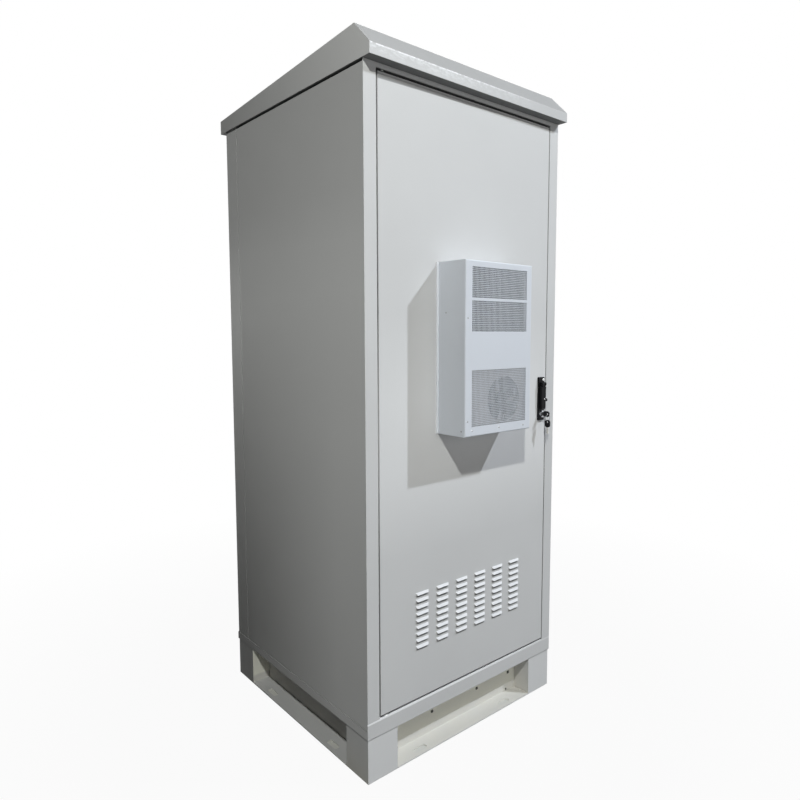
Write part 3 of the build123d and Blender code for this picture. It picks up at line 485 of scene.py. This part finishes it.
def fins(name, colour):
    """Heat exchanger fins: fine upright lines over a metal block, the gaps between the fins painted dark
    as shade.
    """
    mat = NodeMaterial(name)
    wave = mat.node("ShaderNodeTexWave", wave_type="BANDS", bands_direction="X")
    wave.inputs["Scale"].default_value = 105.0
    wave.inputs["Distortion"].default_value = 0.4
    mat.link(mat.coord, wave.inputs["Vector"])
    lines = wave.outputs["Fac"]
    mat.colour(mat.ramp(lines, (0.35, shade(colour, 0.35)), (0.65, colour)))
    mat.rough(mat.remap(mat.noise(scale=80.0), 0.35, 0.55))
    mat.set(Metallic=0.7)
    mat.bump([(lines, 0.5, 0.6)])
    return mat.material


def plain_metal(name, colour, rough, brush=(1.0, 1.0, 1.0), edge=0.3):
    """Bright metal with fine drawn lines and smudges."""
    mat = NodeMaterial(name)
    lines = mat.noise(scale=700.0, rough=0.6, stretch=brush)
    smudge = mat.noise(scale=60.0, detail=3.0)
    mat.colour(mat.ramp(smudge, (0.3, shade(colour, 0.9)), (0.7, shade(colour, 1.05))))
    mat.rough(mat.remap(smudge, rough * 0.75, rough * 1.3))
    mat.set(Metallic=1.0)
    mat.bump([(lines, 0.06, 0.05)], edge)
    return mat.material


def moulded(name, colour, rough, grain=900.0, depth=0.2, edge=0.6, sheen=0.5):
    """Moulded plastic, rubber or crackle-coated casting with a fine grain."""
    mat = NodeMaterial(name)
    cloud = mat.noise(scale=45.0, detail=3.0)
    mat.colour(mat.ramp(cloud, (0.3, shade(colour, 0.82)), (0.7, shade(colour, 1.2))))
    mat.rough(mat.remap(mat.noise(scale=160.0), rough - 0.06, rough + 0.08))
    mat.set(Specular_IOR_Level=sheen)
    mat.bump([(mat.noise(scale=grain, detail=3.0, rough=0.6), depth, 0.1)], edge)
    return mat.material


def fleece(name, colour):
    """Filter mat: tangled fibres."""
    mat = NodeMaterial(name)
    fibre = mat.noise(scale=260.0, detail=6.0, rough=0.75, stretch=(1.0, 1.0, 0.35))
    mat.colour(mat.ramp(fibre, (0.35, shade(colour, 0.5)), (0.65, shade(colour, 1.15))))
    mat.set(Roughness=0.95)
    mat.bump([(fibre, 0.8, 1.0)])
    return mat.material


# Materials on the CAD nodes

unit_paint = unit_coat()
lock_black = moulded("lock_black", srgb(15, 15, 17), rough=0.42, grain=700.0, depth=0.25, sheen=0.12)
lock_chrome = plain_metal("lock_chrome", srgb(176, 177, 180), rough=0.16)
nickel = plain_metal("nickel", srgb(206, 204, 198), rough=0.26, brush=(1.0, 0.05, 0.05))
bright_zinc = plain_metal("bright_zinc", srgb(186, 188, 190), rough=0.36)
bolt_steel = plain_metal("bolt_steel", srgb(84, 84, 80), rough=0.45)
screw_bright = plain_metal("screw_bright", srgb(236, 237, 238), rough=0.2)
black_plastic = moulded("black_plastic", srgb(15, 15, 17), rough=0.5, sheen=0.15)
# Near-black painted shade for the cross recesses of the screws.
recess_painted_shade = moulded("recess_painted_shade", srgb(18, 18, 19), rough=0.8)

BY_SLOT = {
    "body_paint": body_coat(),
    "unit_paint": unit_paint,
    "zinc_steel": zinc("zinc_steel", srgb(196, 197, 195)),
    "coil_metal": fins("coil_metal", srgb(112, 117, 128)),
    "motor_paint": moulded("motor_paint", srgb(46, 48, 50), rough=0.45),
    "lock_black": lock_black,
    "lock_chrome": lock_chrome,
    "key_finish": nickel,
    "black_plastic": black_plastic,
    "rubber": moulded("rubber", srgb(28, 28, 29), rough=0.75, grain=500.0, depth=0.3, edge=0.5, sheen=0.3),
    "filter_mat": fleece("filter_mat", srgb(196, 196, 188)),
}


def paint(material, *names):
    for name in names:
        for holder in nodes[name].material_slots:
            holder.material = material


for row in frame["record"]["subparts"]:
    paint(BY_SLOT[row["material_slot"]], row["node"])
paint(roof_coat(), "roof_cap")
paint(plinth_coat(), *[name for name in nodes if name.startswith("plinth_")])
paint(zinc("shroud_zinc", srgb(164, 161, 161), rough=0.5, metal=0.35), "fan_shroud")
paint(door_coat(), "door_panel")
paint(sill_coat(), "base_rail_front")
paint(rail_coat(), "base_rail_left", "base_rail_right", "base_rail_rear")
paint(flange_coat(), "unit_back_plate")
paint(moulded("fan_grey", srgb(30, 32, 36), rough=0.6, sheen=0.1), "fan_impeller", "fan_motor")


# Mesh helpers, in millimetres

def piece(name, bm, body, materials, smooth=False, bevel=0.0):
    """Mesh piece built in millimetres, put in the frame in metres, on a body."""
    bm.transform(Matrix.Scale(MM, 4))
    bmesh.ops.recalc_face_normals(bm, faces=bm.faces)
    mesh = bpy.data.meshes.new(name)
    bm.to_mesh(mesh)
    bm.free()
    for face in mesh.polygons:
        face.use_smooth = smooth
    for material in materials:
        mesh.materials.append(material)
    obj = bpy.data.objects.new(name, mesh)
    bpy.context.scene.collection.objects.link(obj)
    if bevel:
        rounding = obj.modifiers.new("bevel", "BEVEL")
        rounding.width = bevel * MM
        rounding.segments = 2
        rounding.limit_method = "ANGLE"
        rounding.angle_limit = math.radians(35)
    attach(obj, body)
    return obj


def circle(radius, count):
    turns = (2 * math.pi * k / count for k in range(count))
    return [(radius * math.cos(angle), radius * math.sin(angle)) for angle in turns]


def scaled(shares, size):
    return [(first * size, second * size) for first, second in shares]


def band(bm, one, two, index=0):
    """Closed band of quads between two loops of vertices."""
    count = len(one)
    for k in range(count):
        after = (k + 1) % count
        bm.faces.new([one[k], one[after], two[after], two[k]]).material_index = index


def fan(bm, loop, tip, index=0):
    """Triangles from a loop of vertices to one tip."""
    count = len(loop)
    for k in range(count):
        bm.faces.new([loop[k], loop[(k + 1) % count], tip]).material_index = index


def lathe(bm, profile, place, count=20, index=0):
    """Round shape: (radius, height) points turned about local Z, then placed."""
    rings = []
    for radius, height in profile:
        points = circle(radius, count) if radius else [(0, 0)]
        rings.append([bm.verts.new(place @ Vector((x, y, height))) for x, y in points])
    for low, high in zip(rings, rings[1:]):
        if len(low) == 1:
            fan(bm, high, low[0], index)
        elif len(high) == 1:
            fan(bm, low, high[0], index)
        else:
            band(bm, low, high, index)


def prism(bm, outline, low, high, place, index=0):
    """Flat outline in local X and Y, raised along local Z."""
    bottom = [bm.verts.new(place @ Vector((x, y, low))) for x, y in outline]
    top = [bm.verts.new(place @ Vector((x, y, high))) for x, y in outline]
    bm.faces.new(list(reversed(bottom))).material_index = index
    bm.faces.new(top).material_index = index
    band(bm, bottom, top, index)


def facing(place, out, turn=0.0):
    """Frame at a point whose local Z points out of the surface along the given axis."""
    aim = Vector(out).to_track_quat("Z", "Y").to_matrix().to_4x4()
    return Matrix.Translation(place) @ aim @ Matrix.Rotation(turn, 4, "Z")


# Fasteners, as shares of the head's radius

PAN_WASHER_SHARES = ((1.35, 0), (1.35, 0.16), (1.0, 0.18))
PAN_DOME_SHARES = ((1.0, 0.16), (0.98, 0.42), (0.82, 0.62), (0.5, 0.72), (0, 0.74))
CROSS_ARM_SHARE, CROSS_HALF_SHARE, CROSS_LOW_SHARE, CROSS_HIGH_SHARE = 0.58, 0.13, 0.6, 0.76
BOLT_WASHER_SHARES = ((0, 0), (1.5, 0), (1.5, 0.22), (1.4, 0.28), (0, 0.28))
BOLT_LOW_SHARE, BOLT_HIGH_SHARE = 0.26, 0.85
BOLT_CHAMFER_SHARES = ((0.87, 0.84), (0.74, 0.94), (0, 0.95))


def pan_screw(bm, place, radius):
    """Pan-head screw: domed head with a cross recess, drawn as a thin raised cross in the second material
    for its painted shade, and a thin washer.
    """
    lathe(bm, scaled(PAN_WASHER_SHARES, radius), place, count=24)
    lathe(bm, scaled(PAN_DOME_SHARES, radius), place, count=24)
    arm, half = radius * CROSS_ARM_SHARE, radius * CROSS_HALF_SHARE
    quarter = [(arm, -half), (arm, half), (half, half)]
    cross = []
    for _ in range(4):
        cross += quarter
        quarter = [(-y, x) for x, y in quarter]
    prism(bm, cross, radius * CROSS_LOW_SHARE, radius * CROSS_HIGH_SHARE, place, index=1)


def hex_bolt(bm, place, radius):
    """Hexagon bolt with a chamfered head on a washer."""
    lathe(bm, scaled(BOLT_WASHER_SHARES, radius), place, count=28)
    prism(bm, circle(radius, 6), radius * BOLT_LOW_SHARE, radius * BOLT_HIGH_SHARE, place)
    lathe(bm, scaled(BOLT_CHAMFER_SHARES, radius), place, count=24)


# Cooling unit

FOLD_RADIUS, FOLD_STEPS, SHEET = 3.6, 5, 1.2
FIELD_LEFT, FIELD_RIGHT = -114.0, 118.0
FIELDS_ABOVE = ((27.0, 186.5), (293.5, 380.0), (387.0, 473.0))
FIELDS = [(UNIT_LOW + low, UNIT_LOW + high) for low, high in FIELDS_ABOVE]
HOLE_PITCH, HOLE_SIZE, HOLE_CORNER = 5.0, 4.0, 0.9


def cover_sides(bm):
    """Sides of the cover with the rounded fold to its front."""
    sections = [(UNIT_BACK, 0.0)]
    for k in range(FOLD_STEPS + 1):
        angle = k * math.pi / 2 / FOLD_STEPS
        behind, inset = FOLD_RADIUS * (1 - math.sin(angle)), FOLD_RADIUS * (1 - math.cos(angle))
        sections.append((UNIT_FRONT + behind, inset))
    rings = []
    for y, inset in sections:
        x, low, high = UNIT_X - inset, UNIT_LOW + inset, UNIT_HIGH - inset
        corners = ((-x, y, low), (x, y, low), (x, y, high), (-x, y, high))
        rings.append([bm.verts.new(corner) for corner in corners])
    for one, two in zip(rings, rings[1:]):
        band(bm, one, two)


def cover_front(bm):
    """Plain sheet between and beside the grille fields."""
    def quad(left, right, low, high):
        corners = ((left, low), (right, low), (right, high), (left, high))
        bm.faces.new([bm.verts.new((x, UNIT_FRONT, z)) for x, z in corners])

    edge = UNIT_X - FOLD_RADIUS
    lines = [UNIT_LOW + FOLD_RADIUS, *[z for field in FIELDS for z in field], UNIT_HIGH - FOLD_RADIUS]
    for n, (low, high) in enumerate(zip(lines, lines[1:])):
        if n % 2 == 0:
            quad(-edge, edge, low, high)
        else:
            quad(-edge, FIELD_LEFT, low, high)
            quad(FIELD_RIGHT, edge, low, high)


def hole_outline():
    """Square hole with cut corners, as eight points about its middle."""
    half, flat = HOLE_SIZE / 2, HOLE_SIZE / 2 - HOLE_CORNER
    quarter = [(half, -flat), (half, flat)]
    outline = []
    for _ in range(4):
        outline += quarter
        quarter = [(-z, x) for x, z in quarter]
    return outline


def grille_cell(bm, middle_x, middle_z, half_x, half_z):
    """One cell of a grille field: flat sheet round a hole, and the hole's walls."""
    hole = hole_outline()
    reach = HOLE_SIZE / 2

    def loop(points, y):
        return [bm.verts.new((middle_x + x, y, middle_z + z)) for x, z in points]

    def to_border(value, half):
        return math.copysign(half, value) if abs(value) == reach else value

    outer = loop([(to_border(x, half_x), to_border(z, half_z)) for x, z in hole], UNIT_FRONT)
    inner = loop(hole, UNIT_FRONT)
    deep = loop(hole, UNIT_FRONT + SHEET)
    for k in range(len(hole)):
        after = (k + 1) % len(hole)
        sheet = [outer[k], outer[after], inner[after], inner[k]]
        if k % 2:
            corner_x = math.copysign(half_x, hole[k][0] + hole[after][0])
            corner_z = math.copysign(half_z, hole[k][1] + hole[after][1])
            sheet[1:1] = loop([(corner_x, corner_z)], UNIT_FRONT)
        bm.faces.new(sheet)
        bm.faces.new([inner[k], inner[after], deep[after], deep[k]])


def grille_field(bm, low, high):
    columns = round((FIELD_RIGHT - FIELD_LEFT) / HOLE_PITCH)
    rows = round((high - low) / HOLE_PITCH)
    cell_x, cell_z = (FIELD_RIGHT - FIELD_LEFT) / columns, (high - low) / rows
    for i in range(columns):
        middle_x = FIELD_LEFT + (i + 0.5) * cell_x
        for j in range(rows):
            grille_cell(bm, middle_x, low + (j + 0.5) * cell_z, cell_x / 2, cell_z / 2)


def perforated_cover():
    bm = bmesh.new()
    cover_sides(bm)
    cover_front(bm)
    for low, high in FIELDS:
        grille_field(bm, low, high)
    obj = piece("unit_cover_perforated", bm, "door", [unit_paint])
    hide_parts("unit_cover")


UNIT_SCREW = 2.0
FRONT_SCREWS = ((-111.0, 17.0), (0.0, 16.5), (108.0, 14.0), (-130.5, 44.0), (-130.4, 331.0))
SIDE_SCREWS = ((13.0, 16.0), (76.0, 347.0))


def unit_screws():
    """Screws of the cover: across and up on its front, back and up on its two sides."""
    bm = bmesh.new()
    for across, above in FRONT_SCREWS:
        place = (across, UNIT_FRONT, UNIT_LOW + above)
        pan_screw(bm, facing(place, (0, -1, 0), turn=0.3 + across * 0.01), UNIT_SCREW)
    for way in (-1, 1):
        for behind, above in SIDE_SCREWS:
            place = (way * UNIT_X, UNIT_FRONT + behind, UNIT_LOW + above)
            pan_screw(bm, facing(place, (way, 0, 0), turn=place[2] * 0.02), UNIT_SCREW)
    piece("unit_screws", bm, "door", [bright_zinc, recess_painted_shade])


perforated_cover()
unit_screws()


# Plinth and lock fasteners

WALL_FACE = 333.0
BOLT_ROW, BOLT_HEIGHT, BOLT_RADIUS = (-258.0, -101.0, 101.0, 258.0), 66.0, 3.5
BOLT_TURNS = {(0, -1): 0.2, (0, 1): 0.4, (-1, 0): 0.1, (1, 0): 0.5}
FOOT_BOLTS, FOOT_HEIGHT, FOOT_RADIUS = (-243.0, 248.0), 8.5, 2.4


def plinth_bolts():
    """Row of bolts on each of the four walls, and two small ones at the foot of the front wall."""
    bm = bmesh.new()
    for along in BOLT_ROW:
        for (x, y), turn in BOLT_TURNS.items():
            place = (x * WALL_FACE + abs(y) * along, y * WALL_FACE + abs(x) * along, BOLT_HEIGHT)
            hex_bolt(bm, facing(place, (x, y, 0), turn), BOLT_RADIUS)
    for along in FOOT_BOLTS:
        hex_bolt(bm, facing((along, -WALL_FACE, FOOT_HEIGHT), (0, -1, 0), turn=0.3), FOOT_RADIUS)
    piece("plinth_bolts", bm, "cabinet", [bolt_steel])


PLATE_SCREW_X, TOP_SCREW_BELOW, LOW_SCREW_ABOVE = 9.0, 9.0, 6.0
TOP_SCREW, LOW_SCREW = 3.2, 2.2
LUG_X, LUG_OUT, LUG_ABOVE = 9.6, 0.6, 31.0
LUG_EYE, LUG_MIDDLE, LUG_OUTER, LUG_HALF = 2.0, 3.0, 5.2, 1.5
BUSH_LOW, BUSH_HIGH = -0.3, 1.9
RIVET_X, RIVET_ABOVE = 3.0, 34.0
RIVET_PROFILE = ((2.4, -0.3), (2.4, 0.3), (1.9, 0.8), (1.0, 1.1), (0, 1.2))


def lock_screws():
    """Bright screw at the top of the escutcheon and black one at its foot."""
    bm = bmesh.new()
    place = (LOCK_X + PLATE_SCREW_X, PLATE_FRONT, PLATE_HIGH - TOP_SCREW_BELOW)
    pan_screw(bm, facing(place, (0, -1, 0), turn=0.4), TOP_SCREW)
    piece("lock_screw", bm, "door", [screw_bright, recess_painted_shade])
    bm = bmesh.new()
    place = (LOCK_X - PLATE_SCREW_X, PLATE_FRONT, PLATE_LOW + LOW_SCREW_ABOVE)
    pan_screw(bm, facing(place, (0, -1, 0), turn=0.9), LOW_SCREW)
    piece("lock_screw_black", bm, "door", [lock_black, recess_painted_shade])


def handle_lug():
    """Small lug with a bushed eye on the handle's right edge, and the rivet that holds it."""
    def sleeve(inner, outer, low, high):
        return [(inner, low), (outer, low), (outer, high), (inner, high), (inner, low)]

    bm = bmesh.new()
    lug = facing((LOCK_X + LUG_X, HANDLE_FRONT - LUG_OUT, HANDLE_LOW + LUG_ABOVE), (-1, 0, 0))
    lathe(bm, sleeve(LUG_EYE, LUG_MIDDLE, BUSH_LOW, BUSH_HIGH), lug, index=1)
    lathe(bm, sleeve(LUG_MIDDLE, LUG_OUTER, -LUG_HALF, LUG_HALF), lug, count=28)
    rivet = facing((LOCK_X + RIVET_X, HANDLE_FRONT, HANDLE_LOW + RIVET_ABOVE), (0, -1, 0))
    lathe(bm, RIVET_PROFILE, rivet, index=1)
    piece("handle_lug", bm, "lock_handle", [lock_black, screw_bright])


plinth_bolts()
lock_screws()
handle_lug()


# Keys and ring

BOW_HALF, BOW_LENGTH, BOW_CORNER, CORNER_STEPS = 10.0, 25.0, 8.0, 6
BOW_THICK, RIM_SHARE, CROWN_SHARE = 2.5, 0.72, 0.94
EYE_RADIUS = 3.5
BLADE_HALF, BLADE_THICK, BLADE_ROOT, BLADE_SHOULDER = 3.5, 1.0, -1.0, 2.0
BLADE_TIP = ((BLADE_HALF, 20.0), (1.6, 22.0), (-1.4, 22.0), (-3.0, 20.4))
CUT_DEPTHS, CUT_PITCH, FIRST_CUT, CUT_EDGE = (1.4, 0.6, 1.7, 0.9), 3.6, 18.2, -3.3
CUT_DOWN, CUT_UP, CUT_WIDTH = 1.2, 2.2, 3.2
KEY_BEVEL = 0.35
WIRE, RING_TURNS, WIRE_SIDES = 0.8, 48, 8

ring_low, ring_high = box_mm("key_ring")
RING_Y, RING_Z = halfway(ring_low[1], ring_high[1]), halfway(ring_low[2], ring_high[2])
RING_RADIUS = (ring_high[0] - ring_low[0] - ring_high[1] + ring_low[1]) / 2
KEY_ROOT = box_mm("key")[0][1] + BOW_LENGTH
SPARE_ROOT = box_mm("spare_key")[1][2] - BOW_LENGTH
EYE_BEHIND = RING_Y - KEY_ROOT


def bow_outline():
    """Rounded outline of the bow, which reaches back from the key's root."""
    outline = []
    across, front, back = BOW_HALF - BOW_CORNER, -BOW_CORNER, BOW_CORNER - BOW_LENGTH
    for n, (x, y) in enumerate(((across, front), (-across, front), (-across, back), (across, back))):
        for k in range(CORNER_STEPS + 1):
            angle = math.pi / 2 * (n + k / CORNER_STEPS)
            outline.append((x + BOW_CORNER * math.cos(angle), y + BOW_CORNER * math.sin(angle)))
    return outline


def blade_outline():
    """Outline of the blade with its cuts on one edge."""
    outline = [(BLADE_HALF, BLADE_ROOT), *BLADE_TIP]
    for n, depth in enumerate(CUT_DEPTHS):
        start, bottom = FIRST_CUT - n * CUT_PITCH, depth - BLADE_HALF
        steps = ((CUT_EDGE, 0.0), (bottom, CUT_DOWN), (bottom, CUT_UP), (CUT_EDGE, CUT_WIDTH))
        outline += [(x, start - step) for x, step in steps]
    return outline + [(-BLADE_HALF, BLADE_SHOULDER), (-BLADE_HALF, BLADE_ROOT)]


def key_mesh(bm, place):
    """Key along local +Y: black bow with an eye, nickel blade with its cuts."""
    def loop(points, side):
        return [bm.verts.new(place @ Vector((side, along, across))) for across, along in points]

    rim = bow_outline()
    centre = -BOW_LENGTH / 2
    crown = [(x * CROWN_SHARE, centre + (y - centre) * CROWN_SHARE) for x, y in rim]
    angles = [math.atan2(y - EYE_BEHIND, x) for x, y in rim]
    eye = [(EYE_RADIUS * math.cos(a), EYE_BEHIND + EYE_RADIUS * math.sin(a)) for a in angles]
    half, edge = BOW_THICK, BOW_THICK * RIM_SHARE
    loops = [loop(rim, edge), loop(crown, half), loop(eye, half),
             loop(eye, -half), loop(crown, -half), loop(rim, -edge)]
    for one, two in zip(loops, loops[1:] + loops[:1]):
        band(bm, one, two)
    upright = Matrix(((0, 0, 1, 0), (0, 1, 0, 0), (1, 0, 0, 0), (0, 0, 0, 1)))
    prism(bm, blade_outline(), -BLADE_THICK, BLADE_THICK, place @ upright, index=1)


def cut_key(name, place, body, node):
    bm = bmesh.new()
    key_mesh(bm, place)
    obj = piece(name, bm, body, [black_plastic, nickel], bevel=KEY_BEVEL)
    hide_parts(node)


def key_ring():
    bm = bmesh.new()
    loops = []
    for across, up in circle(1.0, RING_TURNS):
        loop = []
        for outward, forward in circle(WIRE, WIRE_SIDES):
            reach = RING_RADIUS + outward
            loop.append(bm.verts.new((LOCK_X + reach * across, RING_Y + forward, RING_Z + reach * up)))
        loops.append(loop)
    for one, two in zip(loops, loops[1:] + loops[:1]):
        band(bm, one, two)
    obj = piece("key_ring_wire", bm, "key_bunch", [lock_chrome], smooth=True)
    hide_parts("key_ring")


in_lock = Matrix.Translation((LOCK_X, KEY_ROOT, BARREL_Z))
on_ring = Matrix.Translation((LOCK_X, RING_Y, SPARE_ROOT)) @ Matrix.Rotation(-math.pi / 2, 4, "X")
cut_key("key_cut", in_lock, "lock_key", "key")
cut_key("spare_key_cut", on_ring, "key_bunch", "spare_key")
key_ring()


# Stage and light, in metres

FLOOR_REACH, FLOOR_LEVEL = 9.0, -0.0005
PLINTH_HALF = box_mm("plinth_leg_front_right")[1][0] * MM
FLOOR_FADE, FLOOR_NEAR_WHITE = (0.9, 2.4), 0.95
FLOOR_PALE = (0.20, 0.20, 0.197, 1.0)
FLOOR_UNDER = (0.66, 0.66, 0.62, 1.0)


def background_rays(tree):
    """1 for the rays that show the background: to the camera, in metal and through glass."""
    path = tree.nodes.new("ShaderNodeLightPath")
    seen = path.outputs["Is Camera Ray"]
    for kind in ("Is Transmission Ray", "Is Glossy Ray"):
        either = tree.nodes.new("ShaderNodeMath")
        either.operation = "MAXIMUM"
        tree.links.new(seen, either.inputs[0])
        tree.links.new(path.outputs[kind], either.inputs[1])
        seen = either.outputs[0]
    return seen


def floor_material():
    """Pale floor that shows white with a faint shadow; plain concrete tone under the plinth."""
    mat = NodeMaterial("floor")
    mat.tree.nodes.remove(mat.shader)
    inside = [mat.math("LESS_THAN", mat.absolute(mat.axis(name)), PLINTH_HALF) for name in "XY"]
    under = mat.times(*inside)
    distance = mat.node("ShaderNodeVectorMath", operation="LENGTH")
    mat.link(mat.coord, distance.inputs[0])
    whiteness = mat.remap(distance.outputs["Value"], FLOOR_NEAR_WHITE, 1.0, *FLOOR_FADE)
    white = mat.times(background_rays(mat.tree), whiteness, mat.math("SUBTRACT", 1.0, under))
    diffuse = mat.node("ShaderNodeBsdfDiffuse")
    mat.link(mat.mix(under, FLOOR_PALE, FLOOR_UNDER), diffuse.inputs["Color"])
    glow = mat.node("ShaderNodeEmission")
    shown = mat.node("ShaderNodeMixShader")
    mat.link(white, shown.inputs["Fac"])
    mat.link(diffuse.outputs[0], shown.inputs[1])
    mat.link(glow.outputs[0], shown.inputs[2])
    mat.link(shown.outputs[0], mat.tree.nodes["Material Output"].inputs["Surface"])
    return mat.material


def lay_floor():
    bm = bmesh.new()
    corners = ((-1, -1), (1, -1), (1, 1), (-1, 1))
    bm.faces.new([bm.verts.new((x * FLOOR_REACH, y * FLOOR_REACH, FLOOR_LEVEL)) for x, y in corners])
    mesh = bpy.data.meshes.new("floor")
    bm.to_mesh(mesh)
    bm.free()
    mesh.materials.append(floor_material())
    floor = bpy.data.objects.new("floor", mesh)
    bpy.context.scene.collection.objects.link(floor)


LAMP_TARGET = Vector((0.0, -0.4, 1.1))
WHITE_LIGHT = (1.0, 1.0, 1.0)


def lamp(name, place, size, power, colour, spread=math.pi):
    """Round area lamp that looks at the cabinet."""
    light = bpy.data.lights.new(name, "AREA")
    light.shape = "DISK"
    light.size = size
    light.energy = power
    light.color = colour
    light.spread = spread
    obj = bpy.data.objects.new(name, light)
    bpy.context.scene.collection.objects.link(obj)
    obj.location = place
    obj.rotation_euler = (LAMP_TARGET - Vector(place)).to_track_quat("-Z", "Y").to_euler()


def white_world():
    """World that shows white behind the object and gives it no light."""
    world = bpy.data.worlds.new("studio")
    world.use_nodes = True
    tree = world.node_tree
    tree.nodes.clear()
    white = tree.nodes.new("ShaderNodeBackground")
    white.inputs["Color"].default_value = (1.0, 1.0, 1.0, 1.0)
    tree.links.new(background_rays(tree), white.inputs["Strength"])
    tree.links.new(white.outputs[0], tree.nodes.new("ShaderNodeOutputWorld").inputs["Surface"])
    return world


lay_floor()
lamp("lamp_right", (3.06, -3.53, 5.03), size=0.16, power=188.0, colour=(0.915, 0.98, 1.08))
lamp("lamp_left", (-2.275, -2.855, 3.944), size=0.14, power=110.0, colour=(0.985, 1.0, 0.975))
lamp("fill_front", (0.3, -4.5, 1.3), size=3.0, power=33.0, colour=WHITE_LIGHT)
lamp("lamp_back", (0.75, 4.7, 2.4), size=1.4, power=21.0, colour=WHITE_LIGHT, spread=1.2)

scene = bpy.context.scene
scene.world = white_world()
scene.view_settings.view_transform = "Standard"


# Camera at the photograph's angle

YAW, PITCH, ROLL = 0.7116, -0.0871, -0.0007
CAMERA_PLACE = (-1.3931, -1.7531, 1.2478)
IMAGE_PX, FOCAL_PX, CENTRE_X_PX, CENTRE_Y_PX = 800.0, 641.0, 415.38, 389.78
SENSOR = 36.0


def photo_camera():
    lens = bpy.data.cameras.new("camera")
    lens.sensor_width = SENSOR
    lens.lens = FOCAL_PX / IMAGE_PX * SENSOR
    lens.shift_x = (IMAGE_PX / 2 - CENTRE_X_PX) / IMAGE_PX
    lens.shift_y = (CENTRE_Y_PX - IMAGE_PX / 2) / IMAGE_PX
    lens.clip_start = 0.01
    lens.clip_end = 100.0
    forward = Vector((math.sin(YAW) * math.cos(PITCH), math.cos(YAW) * math.cos(PITCH), math.sin(PITCH)))
    level = forward.cross(Vector((0, 0, 1))).normalized()
    upright = level.cross(forward)
    right = level * math.cos(ROLL) + upright * math.sin(ROLL)
    up = upright * math.cos(ROLL) - level * math.sin(ROLL)
    pose = Matrix((right, up, -forward)).transposed().to_4x4()
    pose.translation = CAMERA_PLACE
    camera = bpy.data.objects.new("camera", lens)
    scene.collection.objects.link(camera)
    camera.matrix_world = pose
    return camera


scene.camera = photo_camera()
